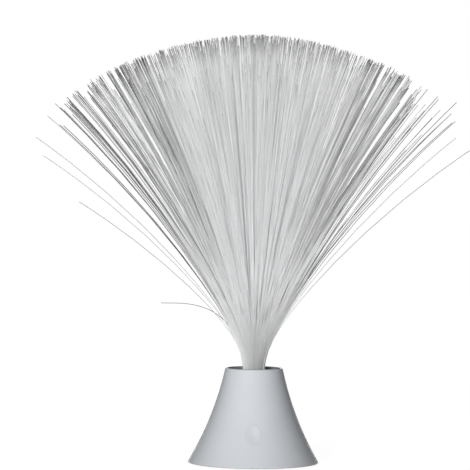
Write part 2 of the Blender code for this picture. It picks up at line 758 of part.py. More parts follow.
def make_screws(looks, frame):
    """Screws of the bottom plate, the lamp board and the switch board."""
    shape = screw_shape("plate_screw", SCREW_RADIUS, SCREW_HEAD_RADIUS, PLATE_SCREW_LENGTH)
    seat = PLATE_LIFT + SCREW_SINK + SCREW_HEAD_HEIGHT
    for number, (x, y) in enumerate(SCREW_PLACES, 1):
        place(f"plate_screw_{number}", shape, looks["steel"], at=(x, y, seat))
    shape = screw_shape("board_screw", SCREW_RADIUS, SCREW_HEAD_RADIUS, BOARD_SCREW_LENGTH)
    for number, side in enumerate((-1, 1), 1):
        at = (side * BOARD_POST_PLACE, 0, BOARD_TOP + GAP)
        place(f"board_screw_{number}", shape, looks["steel"], at=at, turn=(math.pi, 0, 0))
    shape = screw_shape(
        "switch_screw", SWITCH_SCREW_RADIUS, SWITCH_SCREW_HEAD_RADIUS, SWITCH_SCREW_LENGTH
    )
    for number, side in enumerate((-1, 1), 1):
        at = (side * SWITCH_POST_SPREAD, 0, SWITCH_BOARD_BOTTOM - GAP)
        place(f"switch_screw_{number}", shape, looks["steel"], frame, at)


def make_battery_door(looks):
    """The door under the cells, with two tongues at one end and a finger tab at the other.

    Its origin is on the edge that it tilts about.
    """
    edge = Vector((-DOOR_HALF_LENGTH, 0, PLATE_LIFT))
    shape = block(
        "battery_door",
        (0, -DOOR_HALF_WIDTH, 0),
        (2 * DOOR_HALF_LENGTH, DOOR_HALF_WIDTH, DOOR_THICKNESS),
    )
    door = place("battery_door", shape, looks["inner"], at=edge)
    tongue_low = HOOK_THICKNESS + GAP
    tongue_high = tongue_low + TONGUE_THICKNESS
    for number, side in enumerate((-1, 1), 1):
        middle = side * TONGUE_PLACE_SHARE * DOOR_HALF_WIDTH
        sides = (middle - TONGUE_WIDTH / 2, middle + TONGUE_WIDTH / 2)
        corners = [
            (-TONGUE_LENGTH, tongue_low),
            (TONGUE_THICKNESS, tongue_low),
            (TONGUE_THICKNESS, tongue_high),
            (-TONGUE_LENGTH, tongue_high),
        ]
        tongue = lofted(f"tongue_{number}", [[(x, y, z) for x, z in corners] for y in sides])
        join(door, tool(f"add_tongue_{number}", tongue, at=edge))
    finger = block(
        "finger_tab",
        (2 * DOOR_HALF_LENGTH - OVERRUN, -FINGER_WIDTH / 2, 0),
        (2 * DOOR_HALF_LENGTH + FINGER_LENGTH, FINGER_WIDTH / 2, HOOK_THICKNESS),
    )
    join(door, tool("add_finger_tab", finger, at=edge))
    for number in range(GRIP_COUNT):
        start = 2 * DOOR_HALF_LENGTH - (number + 1) * GRIP_PITCH
        groove = block(
            f"grip_{number + 1}",
            (start, -FINGER_WIDTH / 2, -OVERRUN),
            (start + GRIP_WIDTH, FINGER_WIDTH / 2, GRIP_DEPTH),
        )
        cut(door, tool(f"cut_grip_{number + 1}", groove, at=edge))


def make_cells(looks):
    """Cells side by side, every second one turned end for end."""
    radius = CELL_DIAMETER / 2
    can = CELL_LENGTH - CELL_NUB_LENGTH
    outline = [
        (0, 0),
        (radius - CELL_EDGE, 0),
        (radius, CELL_EDGE),
        (radius, can - CELL_EDGE),
        (radius - CELL_EDGE, can),
        (CELL_NUB_RADIUS, can),
        (CELL_NUB_RADIUS, CELL_LENGTH),
        (0, CELL_LENGTH),
    ]
    shape = turned("battery", outline)
    back = BAY_HALF_LENGTH - 3 * GAP - CONTACT_THICKNESS - SPRING_LENGTH
    for number in range(CELL_COUNT):
        way = 1 if number % 2 == 0 else -1
        at = (-way * back, cell_row(number), CELL_MIDDLE)
        place(f"battery_{number + 1}", shape, looks["cell"], at=at, turn=(0, way * math.pi / 2, 0))


def make_springs(looks):
    """Conical contact springs, one behind the flat end of each cell."""
    wire = SPRING_LENGTH - 2 * SPRING_WIRE_RADIUS
    count = int(SPRING_TURNS * SPRING_POINTS_A_TURN)
    foot = BAY_HALF_LENGTH - 2 * GAP - CONTACT_THICKNESS - SPRING_WIRE_RADIUS
    for number in range(CELL_COUNT):
        way = 1 if number % 2 == 0 else -1
        points = []
        for k in range(count + 1):
            share = k / count
            angle = math.tau * SPRING_TURNS * share
            reach = SPRING_WIDE_RADIUS + (SPRING_NARROW_RADIUS - SPRING_WIDE_RADIUS) * share
            points.append((way * wire * share, reach * math.cos(angle), reach * math.sin(angle)))
        shape = tube(f"contact_spring_{number + 1}", points, SPRING_WIRE_RADIUS, 1)
        at = (-way * foot, cell_row(number), CELL_MIDDLE)
        place(f"contact_spring_{number + 1}", shape, looks["nickel"], at=at)


def tube(name, points, radius, resolution=2):
    """A round wire through points, with closed ends."""
    curve = bpy.data.curves.new(name, "CURVE")
    curve.dimensions = "3D"
    curve.bevel_depth = radius
    curve.bevel_resolution = resolution
    curve.use_fill_caps = True
    line = curve.splines.new("POLY")
    line.points.add(len(points) - 1)
    for spot, point in zip(line.points, points):
        spot.co = (*point, 1)
    return curve


def contact(name, end, first, last, tab, looks):
    """A sheet contact on an end wall of the bay, across one or more cells, with a tab or without."""
    low, high = CELL_MIDDLE - CONTACT_SIDE / 2, CELL_MIDDLE + CONTACT_SIDE / 2
    left, right = cell_row(first) - CONTACT_SIDE / 2, cell_row(last) + CONTACT_SIDE / 2
    corners = [(left, low), (right, low), (right, high)]
    if tab:
        middle = cell_row(first)
        tip = BAY_TOP + TAB_RISE
        corners += [
            (middle + TAB_WIDTH / 2, high),
            (middle + TAB_WIDTH / 2, tip),
            (middle - TAB_WIDTH / 2, tip),
            (middle - TAB_WIDTH / 2, high),
        ]
    corners.append((left, high))
    front = contact_front(end)
    sides = (front, front + end * CONTACT_THICKNESS)
    shape = lofted(name, [[(x, y, z) for y, z in corners] for x in sides])
    place(name, shape, looks["nickel"])


def make_contacts(looks):
    """Contacts that put the cells in series."""
    last = CELL_COUNT - 1
    contact("terminal_negative", -1, 0, 0, True, looks)
    contact("link_plate_left", -1, 1, last, False, looks)
    contact("link_plate_right", 1, 0, last - 1, False, looks)
    contact("terminal_positive", 1, last, last, True, looks)


def make_light(looks):
    """The lamp board with its light source, holder, chip and resistor."""
    shape = board("circuit_board", BOARD_LENGTH, BOARD_WIDTH, BOARD_CORNER, BOARD_BOTTOM, BOARD_TOP)
    lamp_board = place("circuit_board", shape, looks["board"])
    for number, side in enumerate((-1, 1), 1):
        hole = rod(
            f"board_hole_{number}",
            CLEAR_RADIUS,
            BOARD_BOTTOM - OVERRUN,
            BOARD_TOP + OVERRUN,
        )
        cut(lamp_board, tool(f"cut_board_hole_{number}", hole, at=(side * BOARD_POST_PLACE, 0, 0)))
    bore = LED_RADIUS + LED_FLANGE_WIDTH + GAP
    shape = turned(
        "led_holder",
        [
            (bore, HOLDER_BOTTOM),
            (HOLDER_FOOT_RADIUS, HOLDER_BOTTOM),
            (HOLDER_FOOT_RADIUS, HOLDER_BOTTOM + HOLDER_FLOOR),
            (SLEEVE_RADIUS, HOLDER_TOP - HOLDER_FLOOR),
            (SLEEVE_RADIUS, HOLDER_TOP),
            (BUNDLE_RADIUS, HOLDER_TOP),
            (bore, HOLDER_BOTTOM + HOLDER_FLOOR),
        ],
    )
    place("led_holder", shape, looks["shell"])
    low = BOARD_TOP + GAP
    outline = [
        (0, low),
        (LED_RADIUS + LED_FLANGE_WIDTH, low),
        (LED_RADIUS + LED_FLANGE_WIDTH, low + LED_FLANGE_HEIGHT),
        (LED_RADIUS, low + LED_FLANGE_HEIGHT),
        *dome(LED_RADIUS, LED_RADIUS, low + LED_HEIGHT - LED_RADIUS),
    ]
    place("led", turned("led", outline, SMALL_STEPS), looks["lens"])
    shape = turned("controller_chip", [(0, low), *dome(CHIP_RADIUS, CHIP_HEIGHT, low)])
    aside = (HOLDER_FOOT_RADIUS + BOARD_WIDTH / 2) / 2
    place("controller_chip", shape, looks["epoxy"], at=(0, aside, 0))
    ends = RESISTOR_LENGTH / 2
    outline = [
        (0, -ends - RESISTOR_LEAD_LENGTH),
        (RESISTOR_LEAD_RADIUS, -ends - RESISTOR_LEAD_LENGTH),
        (RESISTOR_LEAD_RADIUS, -ends),
        (RESISTOR_RADIUS, -ends),
        (RESISTOR_RADIUS, ends),
        (RESISTOR_LEAD_RADIUS, ends),
        (RESISTOR_LEAD_RADIUS, ends + RESISTOR_LEAD_LENGTH),
        (0, ends + RESISTOR_LEAD_LENGTH),
    ]
    at = (0, -aside, low + RESISTOR_RADIUS)
    shape = turned("resistor", outline, SMALL_STEPS)
    place("resistor", shape, looks["resistor"], at=at, turn=(0, math.pi / 2, 0))


def make_button(looks, frame):
    """The oval button cap, whose dished face continues the shell's outer face."""
    rings = []
    for share in reversed(FACE_SHARES):
        face = oval(BUTTON_HALF_WIDTH * share, BUTTON_HALF_HEIGHT * share)
        dish = BUTTON_DISH * (1 - share**2) ** 2
        rings.append([(x, y, wall_depth(x, y) - dish) for x, y in face])
    edge = oval(BUTTON_HALF_WIDTH, BUTTON_HALF_HEIGHT)
    rings.append([(x, y, wall_depth(x, y) - BUTTON_EDGE) for x, y in edge])
    rings.append([(x, y, FLANGE_FRONT) for x, y in edge])
    flange = oval(BUTTON_HALF_WIDTH + BUTTON_FLANGE, BUTTON_HALF_HEIGHT + BUTTON_FLANGE)
    rings.append([(x, y, FLANGE_FRONT) for x, y in flange])
    rings.append([(x, y, FLANGE_BACK) for x, y in flange])
    stem = oval(STEM_RADIUS, STEM_RADIUS)
    rings.append([(x, y, FLANGE_BACK) for x, y in stem])
    rings.append([(x, y, STEM_END) for x, y in stem])
    place("button_cap", lofted("button_cap", rings), looks["button"], frame)


def make_switch(looks, frame):
    """The switch that the button presses, on its own small board."""
    low = SWITCH_TOP - PLUNGER_HOLD
    place(
        "switch_plunger",
        rod("switch_plunger", PLUNGER_RADIUS, low, PLUNGER_TOP),
        looks["plunger"],
        frame,
    )
    shape = board(
        "switch_housing", SWITCH_SIDE, SWITCH_SIDE, SWITCH_BOARD_CORNER, SWITCH_BOTTOM, SWITCH_TOP
    )
    housing = place("switch_housing", shape, looks["epoxy"], frame)
    bore = rod(
        "plunger_bore",
        PLUNGER_RADIUS + GAP,
        SWITCH_BOTTOM + SWITCH_FLOOR,
        SWITCH_TOP + OVERRUN,
    )
    cut(housing, tool("cut_plunger_bore", bore, frame))
    shape = board(
        "switch_board",
        SWITCH_BOARD_LENGTH,
        SWITCH_BOARD_WIDTH,
        SWITCH_BOARD_CORNER,
        SWITCH_BOARD_BOTTOM,
        SWITCH_BOARD_TOP,
    )
    small_board = place("switch_board", shape, looks["board"], frame)
    for number, side in enumerate((-1, 1), 1):
        hole = rod(
            f"switch_board_hole_{number}",
            SWITCH_SCREW_RADIUS + GAP,
            SWITCH_BOARD_BOTTOM - OVERRUN,
            SWITCH_BOARD_TOP + OVERRUN,
        )
        at = (side * SWITCH_POST_SPREAD, 0, 0)
        cut(small_board, tool(f"cut_switch_board_hole_{number}", hole, frame, at))


def wire(name, start, leave, end, arrive, look):
    """A wire between two soldered ends on one smooth curve, straight out of each."""
    reach = (end - start).length * WIRE_REACH_SHARE
    pull = (start, start + leave * reach, end + arrive * reach, end)
    points = []
    for k in range(WIRE_STEPS + 1):
        t = k / WIRE_STEPS
        weights = ((1 - t) ** 3, 3 * t * (1 - t) ** 2, 3 * t**2 * (1 - t), t**3)
        points.append(sum((w * p for w, p in zip(weights, pull)), Vector()))
    place(name, tube(name, points, WIRE_RADIUS), look)


def make_wires(looks):
    """Leads from the contacts and from the switch up to the lamp board's underside."""
    up, down = Vector((0, 0, 1)), Vector((0, 0, -1))
    tab_top = BAY_TOP + TAB_RISE + GAP
    solder = BOARD_BOTTOM - GAP
    pad_row = BOARD_WIDTH / 2 - BOARD_CORNER
    for name, end, number, look in (
        ("battery_lead_black", -1, 0, looks["black_wire"]),
        ("battery_lead_red", 1, CELL_COUNT - 1, looks["red_wire"]),
    ):
        tab = end * (BAY_HALF_LENGTH - GAP - CONTACT_THICKNESS / 2)
        start = Vector((tab, cell_row(number), tab_top))
        pad = Vector((end * (BOARD_POST_PLACE - POST_RADIUS), end * pad_row, solder))
        wire(name, start, up, pad, down, look)
    back = BUTTON_FRAME.to_3x3() @ Vector((0, 0, -1))
    spread = SWITCH_SIDE / 2
    for number, side in enumerate((-1, 1), 1):
        spot = Vector((side * spread, SWITCH_BOARD_CORNER, SWITCH_BOARD_BOTTOM - GAP))
        pad = Vector((side * spread, WIRE_RADIUS - pad_row, solder))
        wire(f"switch_lead_{number}", BUTTON_FRAME @ spot, back, pad, down, looks["white_wire"])


def make_looks():
    """One material for each kind of piece."""
    return {
        "shell": finish("pale_satin_plastic", (0.66, 0.69, 0.72), 0.42),
        "button": finish("pale_button_plastic", (0.66, 0.69, 0.72), 0.40),
        "inner": finish("pale_inner_plastic", (0.60, 0.62, 0.65), 0.50),
        "sleeve": finish("white_sleeve_plastic", (0.75, 0.76, 0.77), 0.45),
        "fibre": finish("clear_fibre", (0.80, 0.81, 0.82), 0.25),
        "rubber": finish("grey_rubber", (0.18, 0.18, 0.19), 0.85),
        "steel": finish("plated_steel", (0.62, 0.62, 0.63), 0.30, 1.0),
        "nickel": finish("nickel_sheet", (0.70, 0.68, 0.64), 0.28, 1.0),
        "cell": finish("cell_sleeve", (0.10, 0.11, 0.13), 0.35),
        "board": finish("green_board", (0.05, 0.22, 0.10), 0.45),
        "epoxy": finish("black_epoxy", (0.03, 0.03, 0.03), 0.40),
        "lens": finish("clear_lens", (0.85, 0.88, 0.90), 0.10),
        "resistor": finish("tan_resistor", (0.62, 0.48, 0.30), 0.45),
        "plunger": finish("white_plunger", (0.80, 0.80, 0.80), 0.40),
        "red_wire": finish("red_insulation", (0.60, 0.05, 0.04), 0.45),
        "black_wire": finish("black_insulation", (0.03, 0.03, 0.03), 0.45),
        "white_wire": finish("white_insulation", (0.78, 0.78, 0.77), 0.45),
    }


def main():
    clear_scene()
    looks = make_looks()
    frame = bpy.data.objects.new("button_axis", None)
    bpy.context.collection.objects.link(frame)
    frame.location = BUTTON_PLACE
    frame.rotation_euler = BUTTON_TURN
    make_shell(looks, frame)
    make_sleeve(looks)
    make_fibres(looks)
    make_bottom_plate(looks)
    make_battery_door(looks)
    make_feet(looks)
    make_screws(looks, frame)
    make_cells(looks)
    make_springs(looks)
    make_contacts(looks)
    make_light(looks)
    make_button(looks, frame)
    make_switch(looks, frame)
    make_wires(looks)


main()
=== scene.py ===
"""Looks of a fibre optic table lamp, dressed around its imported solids.

A flared satin base with a dished push button carries a bundle of clear fibres that fans out into a
wide dome. The frame gives the solids, their places and their bodies. This script makes the fine
surfaces of what shows, gives each solid its finish, and sets up the studio and the camera.
"""

import json
import logging
import math
import random
from dataclasses import dataclass, field
from enum import Enum
from typing import Any, Protocol, Sequence

import bmesh
import bpy
from mathutils import Matrix, Vector


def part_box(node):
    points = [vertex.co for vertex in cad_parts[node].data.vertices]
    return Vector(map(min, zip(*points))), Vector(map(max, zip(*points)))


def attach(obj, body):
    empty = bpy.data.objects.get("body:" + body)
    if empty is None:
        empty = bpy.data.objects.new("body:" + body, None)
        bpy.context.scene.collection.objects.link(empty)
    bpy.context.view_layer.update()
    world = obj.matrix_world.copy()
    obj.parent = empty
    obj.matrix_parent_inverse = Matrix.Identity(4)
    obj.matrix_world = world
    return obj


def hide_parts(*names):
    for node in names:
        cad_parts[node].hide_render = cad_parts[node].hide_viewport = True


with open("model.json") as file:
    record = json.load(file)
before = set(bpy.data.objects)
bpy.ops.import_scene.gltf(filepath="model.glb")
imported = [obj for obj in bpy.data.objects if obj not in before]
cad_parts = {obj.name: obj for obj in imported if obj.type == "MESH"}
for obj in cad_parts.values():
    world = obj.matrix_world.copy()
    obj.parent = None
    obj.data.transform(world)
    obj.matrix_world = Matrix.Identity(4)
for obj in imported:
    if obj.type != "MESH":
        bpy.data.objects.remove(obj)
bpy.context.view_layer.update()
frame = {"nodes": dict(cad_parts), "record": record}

MM = 0.001
LOG = logging.getLogger("lamp")
SHARP_ANGLE = math.radians(35)

# The mesh attribute that holds each fibre's painted shade: pale where fibres crowd, dark where one stands
# alone
PAINTED_SHADE = "painted_shade"

# Where a Mix node has its two colour inputs and its colour output
MIX_LOW, MIX_HIGH, MIX_RESULT = 6, 7, 2

Colour = tuple[float, float, float]
Point2 = tuple[float, float]


class Body(Enum):
    """The lamp's rigid bodies."""

    BASE = "base"
    BUTTON = "button"
    DOOR = "door"


class Signal:
    """A node socket whose Python operators add Math nodes."""

    def __init__(self, graph: "Graph", socket: bpy.types.NodeSocket) -> None:
        """Wrap an output socket of a graph's node, which carries one value."""
        self.graph = graph
        self.socket = socket

    def _math(self, operation: str, *values: "Signal | float") -> "Signal":
        """The result of a new Math node, which takes these values in order."""
        return self.graph.add("ShaderNodeMath", {"operation": operation}, dict(enumerate(values)))

    def __add__(self, other: "Signal | float") -> "Signal":
        """This value plus another."""
        return self._math("ADD", self, other)

    def __radd__(self, other: float) -> "Signal":
        """A number plus this value."""
        return self._math("ADD", other, self)

    def __sub__(self, other: "Signal | float") -> "Signal":
        """This value less another."""
        return self._math("SUBTRACT", self, other)

    def __rsub__(self, other: float) -> "Signal":
        """A number less this value."""
        return self._math("SUBTRACT", other, self)

    def __mul__(self, other: "Signal | float") -> "Signal":
        """This value times another."""
        return self._math("MULTIPLY", self, other)

    def __rmul__(self, other: float) -> "Signal":
        """A number times this value."""
        return self._math("MULTIPLY", other, self)

    def about(self, middle: "Signal | float", span: float) -> "Signal":
        """This value, which runs about 0.5, made to run about a middle and over a span."""
        return (self - 0.5) * span + middle

    def clamped(self) -> "Signal":
        """This value held between 0 and 1."""
        return self.graph.add("ShaderNodeClamp", {}, {"Value": self})

    def over(self, limit: "Signal | float") -> "Signal":
        """1 where this value is over the limit, and 0 elsewhere."""
        return self._math("GREATER_THAN", self, limit)

    def absolute(self) -> "Signal":
        """This value without its sign."""
        return self._math("ABSOLUTE", self)

    def root(self) -> "Signal":
        """The square root of this value."""
        return self._math("SQRT", self)


class Graph:
    """The nodes of one material or of the world."""

    def __init__(self, tree: bpy.types.NodeTree) -> None:
        """Start on a node tree, with all its nodes removed."""
        self.tree = tree
        tree.nodes.clear()

    def add(
        self,
        kind: str,
        settings: dict[str, Any] | None = None,
        inputs: dict[str | int, Any] | None = None,
        output: str | int = 0,
    ) -> Signal:
        """Add a node.

        Args:
            kind: The node's type.
            settings: Its properties, set first.
            inputs: Values or signals for its input sockets.
            output: The output socket that is wanted.

        Returns:
            That output, or the first input of a node that has no outputs.
        """
        made = self.tree.nodes.new(kind)
        for name, value in (settings or {}).items():
            setattr(made, name, value)
        for name, value in (inputs or {}).items():
            if isinstance(value, Signal):
                self.tree.links.new(value.socket, made.inputs[name])
            else:
                made.inputs[name].default_value = value
        return Signal(self, made.outputs[output] if made.outputs else made.inputs[0])

    def place(self) -> Signal:
        """The shaded point's place in the lamp's own frame, in metres."""
        return self.add("ShaderNodeTexCoord", output="Object")

    def axes(self) -> list[Signal]:
        """The place's three shares, along X, Y and Z."""
        made = self.add("ShaderNodeSeparateXYZ", {}, {0: self.place()})
        return [Signal(self, socket) for socket in made.socket.node.outputs]

    def noise(
        self,
        size: float,
        detail: float = 2.0,
        roughness: float = 0.5,
        stretch: Sequence[float] | None = None,
    ) -> Signal:
        """Noise over the surface.

        Args:
            size: Rough size of one blot, in metres.
            detail: Octaves.
            roughness: Strength of the finer octaves.
            stretch: Scale along X, Y and Z, or None.

        Returns:
            Values about 0.5.
        """
        spot = self.place()
        if stretch is not None:
            spot = self.add(
                "ShaderNodeVectorMath", {"operation": "MULTIPLY"}, {0: spot, 1: Vector(stretch)}
            )
        return self.add(
            "ShaderNodeTexNoise",
            {},
            {"Vector": spot, "Scale": 1 / size, "Detail": detail, "Roughness": roughness},
        )

    def blend(self, share: Signal, low: Colour | Signal, high: Colour | Signal) -> Signal:
        """Mix two colours.

        Args:
            share: 0 gives low and 1 gives high.
            low: A colour or a colour signal.
            high: A colour or a colour signal.

        Returns:
            The mixed colour.
        """
        ends = [value if isinstance(value, Signal) else (*value, 1.0) for value in (low, high)]
        inputs = {"Factor": share, MIX_LOW: ends[0], MIX_HIGH: ends[1]}
        return self.add("ShaderNodeMix", {"data_type": "RGBA"}, inputs, MIX_RESULT)

    def bump(self, height: Signal, depth: float) -> Signal:
        """A normal bent by a height, where 1 stands for the depth in metres."""
        return self.add("ShaderNodeBump", {}, {"Height": height, "Distance": depth})


def grey(value: float) -> tuple[float, float, float, float]:
    """An opaque grey, as a colour socket takes it."""
    return (value, value, value, 1.0)


class Surface(Graph):
    """The nodes of a material with one Principled shader."""

    def __init__(self, name: str, fixed: dict[str, Any]) -> None:
        """Start the material.

        Args:
            name: The material's name.
            fixed: Values that are the same all over the surface.
        """
        self.material = bpy.data.materials.new(name)
        self.material.use_nodes = True
        super().__init__(self.material.node_tree)
        shader = self.add("ShaderNodeBsdfPrincipled", {}, fixed)
        self.add("ShaderNodeOutputMaterial", {}, {"Surface": shader})
        self.shader = shader.socket.node

    def vary(self, **varied: Signal) -> bpy.types.Material:
        """Link what varies over the surface.

        Args:
            varied: Signals, by the shader's socket names with _ for each space.

        Returns:
            The material.
        """
        for name, signal in varied.items():
            self.tree.links.new(signal.socket, self.shader.inputs[name.replace("_", " ")])
        return self.material


class Finish(Protocol):
    """What every finish has."""

    name: str

    def material(self) -> bpy.types.Material:
        """Make the finish's material."""


def around(colour: Colour, share: float) -> tuple[Colour, Colour]:
    """A darker and a lighter shade of a colour, each by a share of it."""
    return tuple(c * (1 - share) for c in colour), tuple(min(c * (1 + share), 1.0) for c in colour)


@dataclass(frozen=True)
class Moulded:
    """Moulded satin plastic: faint clouds in its colour, an uneven sheen and a fine grain.

    A coat lays a thin gloss over it. Where a recess shade colour is given, it is painted as shade inside
    the recess: above a height, and within a radius that grows by the flare for each step down.
    """

    name: str
    colour: Colour
    roughness: float
    specular: float = 0.5
    coat: float = 0.0
    coat_tint: float = 1.0
    coat_index: float = 1.5
    cloud_size: float = 22 * MM
    cloud_share: float = 0.03
    sheen_range: float = 0.12
    sheen_finer: float = 3.0
    grain_size: float = 0.35 * MM
    grain_depth: float = 0.006 * MM
    ripple_size: float = 9 * MM
    ripple_depth: float = 0.02 * MM
    # A colour painted as shade inside the shell's rim recess, and the height, radius and flare that bound
    # it
    bare_ends_and_recess_shade: Colour | None = None
    recess_shade_above: float = 60 * MM
    recess_shade_radius: float = 21.4 * MM
    recess_shade_top: float = 73.5 * MM
    recess_shade_flare: float = 0.27

    def material(self) -> bpy.types.Material:
        """Make the material.

        Returns:
            The material.
        """
        fixed = {
            "Specular IOR Level": self.specular,
            "Coat Weight": self.coat,
            "Coat Tint": grey(self.coat_tint),
            "Coat IOR": self.coat_index,
            "Coat Roughness": self.roughness,
        }
        graph = Surface(self.name, fixed)
        clouds = graph.noise(self.cloud_size, detail=3.0)
        sheen = graph.noise(self.cloud_size / self.sheen_finer, detail=4.0, roughness=0.6)
        grain = graph.noise(self.grain_size, roughness=0.7)
        ripple = graph.noise(self.ripple_size, detail=1.0)
        height = grain * (self.grain_depth / self.ripple_depth) + ripple
        colour = graph.blend(clouds, *around(self.colour, self.cloud_share))
        # Painted shade: the inside of the rim recess gets a darker colour, standing in for the shade
        # there
        if self.bare_ends_and_recess_shade:
            x, y, z = graph.axes()
            edge = (self.recess_shade_top - z) * self.recess_shade_flare + self.recess_shade_radius
            shaded_recess = edge.over((x * x + y * y).root()) * z.over(self.recess_shade_above)
            colour = graph.blend(shaded_recess, colour, self.bare_ends_and_recess_shade)
        return graph.vary(
            Base_Color=colour,
            Roughness=sheen.about(self.roughness, self.sheen_range),
            Normal=graph.bump(height, self.ripple_depth),
        )


@dataclass(frozen=True)
class ClearFibre:
    """Drawn acrylic fibre with painted shade: pale where fibres stand close, dark where one stands alone.
    """

    name: str = "clear_acrylic_fibre"
    # The lit and the shaded tone, between which the painted shade blends
    pale: Colour = (0.83, 0.835, 0.84)
    dark: Colour = (0.03, 0.031, 0.032)
    roughness: float = 0.30
    sheen_range: float = 0.2
    streak_size: float = 30 * MM
    streak_share: float = 0.10
    streak_stretch: tuple[float, float, float] = (6.0, 6.0, 0.5)

    def material(self) -> bpy.types.Material:
        """Make the material, which reads each fibre's painted shade from its mesh.

        Returns:
            The material.
        """
        graph = Surface(self.name, {"IOR": 1.49, "Specular IOR Level": 0.4})
        # Painted shade: each fibre's darkness from its mesh, with faint streaks, blends the lit tone into
        # the shaded one
        painted_shade = graph.add("ShaderNodeAttribute", {"attribute_name": PAINTED_SHADE}, output="Fac")
        streaks = graph.noise(self.streak_size, detail=3.0, roughness=0.6, stretch=self.streak_stretch)
        share = streaks.about(painted_shade, self.streak_share).clamped()
        return graph.vary(
            Base_Color=graph.blend(share, self.pale, self.dark),
            Roughness=streaks.about(self.roughness, self.sheen_range),
        )


@dataclass(frozen=True)
class SoftRubber:
    """Moulded rubber with a dusty, pitted face."""

    name: str = "grey_soft_rubber"
    colour: Colour = (0.10, 0.10, 0.105)
    dust: Colour = (0.22, 0.22, 0.215)
    dust_size: float = 1.6 * MM
    pit_size: float = 0.25 * MM
    pit_depth: float = 0.02 * MM
    roughness: float = 0.7
    dust_dulling: float = 0.2

    def material(self) -> bpy.types.Material:
        """Make the material.

        Returns:
            The material.
        """
        graph = Surface(self.name, {"Specular IOR Level": 0.3})
        dust = graph.noise(self.dust_size, detail=5.0, roughness=0.7)
        return graph.vary(
            Base_Color=graph.blend(dust, self.colour, self.dust),
            Roughness=dust * self.dust_dulling + self.roughness,
            Normal=graph.bump(graph.noise(self.pit_size), self.pit_depth),
        )


@dataclass(frozen=True)
class PlatedMetal:
    """Plated sheet, wire or screws, with drawn scratches and a dull bloom."""

    name: str
    colour: Colour
    bloom: Colour
    roughness: float = 0.28
    sheen_range: float = 0.25
    bloom_size: float = 3.5 * MM
    scratch_size: float = 1.2 * MM
    scratch_depth: float = 0.004 * MM
    scratch_stretch: tuple[float, float, float] = (1.0, 8.0, 8.0)

    def material(self) -> bpy.types.Material:
        """Make the material.

        Returns:
            The material.
        """
        graph = Surface(self.name, {"Metallic": 1.0})
        scratches = graph.noise(
            self.scratch_size, detail=4.0, roughness=0.7, stretch=self.scratch_stretch
        )
        bloom = graph.noise(self.bloom_size, detail=4.0, roughness=0.6)
        return graph.vary(
            Base_Color=graph.blend(bloom, self.colour, self.bloom),
            Roughness=scratches.about(self.roughness, self.sheen_range),
            Normal=graph.bump(scratches, self.scratch_depth),
        )


@dataclass(frozen=True)
class CircuitLaminate:
    """Green lacquered laminate with its glass weave and a broad copper pattern under it."""

    name: str = "green_board_laminate"
    lacquer: Colour = (0.012, 0.105, 0.035)
    over_copper: Colour = (0.04, 0.20, 0.06)
    copper_size: float = 7 * MM
    copper_from: float = 0.52
    copper_depth: float = 0.03 * MM
    weave_size: float = 0.6 * MM
    weave_share: float = 0.3
    roughness: float = 0.35
    sheen_range: float = 0.1

    def material(self) -> bpy.types.Material:
        """Make the material.

        Returns:
            The material.
        """
        graph = Surface(self.name, {"Coat Weight": 0.35, "Coat Roughness": 0.2})
        copper = graph.noise(self.copper_size, detail=1.0).over(self.copper_from)
        weave = [
            graph.add(
                "ShaderNodeTexWave",
                {"bands_direction": way},
                {"Vector": graph.place(), "Scale": 1 / self.weave_size / math.tau},
                "Fac",
            )
            for way in ("X", "Y")
        ]
        relief = weave[0] * weave[1] * self.weave_share + copper
        return graph.vary(
            Base_Color=graph.blend(copper, self.lacquer, self.over_copper),
            Roughness=weave[0] * self.sheen_range + self.roughness,
            Normal=graph.bump(relief, self.copper_depth),
        )


@dataclass(frozen=True)
class Lacquer:
    """Glossy cast or lacquered skin, such as epoxy, a lens or wire insulation."""

    name: str
    colour: Colour
    roughness: float = 0.2
    mottle_share: float = 0.12
    mottle_size: float = 1.5 * MM
    sheen_range: float = 0.1
    wave_depth: float = 0.01 * MM

    def material(self) -> bpy.types.Material:
        """Make the material.

        Returns:
            The material.
        """
        graph = Surface(self.name, {"Specular IOR Level": 0.5})
        mottle = graph.noise(self.mottle_size, detail=3.0)
        return graph.vary(
            Base_Color=graph.blend(mottle, *around(self.colour, self.mottle_share)),
            Roughness=mottle.about(self.roughness, self.sheen_range),
            Normal=graph.bump(mottle, self.wave_depth),
        )


@dataclass(frozen=True)
class CellWrap:
    """Printless dark sleeve of a cell, with its metal showing at both ends."""

    name: str = "cell_wrap"
    wrap: Colour = (0.035, 0.04, 0.05)
    metal: Colour = (0.62, 0.60, 0.56)
    end_share: float = 0.94
    scuff_size: float = 2.5 * MM
    scuff_depth: float = 0.01 * MM
    roughness: float = 0.25
    scuff_dulling: float = 0.2

    def material(self) -> bpy.types.Material:
        """Make the material, whose ends are found from the cells' places along X.

        Returns:
            The material.
        """
        low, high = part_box("battery_1")
        middle, half = (low.x + high.x) / 2, (high.x - low.x) / 2
        graph = Surface(self.name, {"Coat Weight": 0.4, "Coat Roughness": 0.15})
        bare_ends_and_recess_shade = (graph.axes()[0] - middle).absolute().over(half * self.end_share)
        scuffs = graph.noise(self.scuff_size, detail=5.0, roughness=0.7)
        return graph.vary(
            Base_Color=graph.blend(bare_ends_and_recess_shade, self.wrap, self.metal),
            Metallic=bare_ends_and_recess_shade,
            Roughness=scuffs * self.scuff_dulling + self.roughness,
            Normal=graph.bump(scuffs, self.scuff_depth),
        )


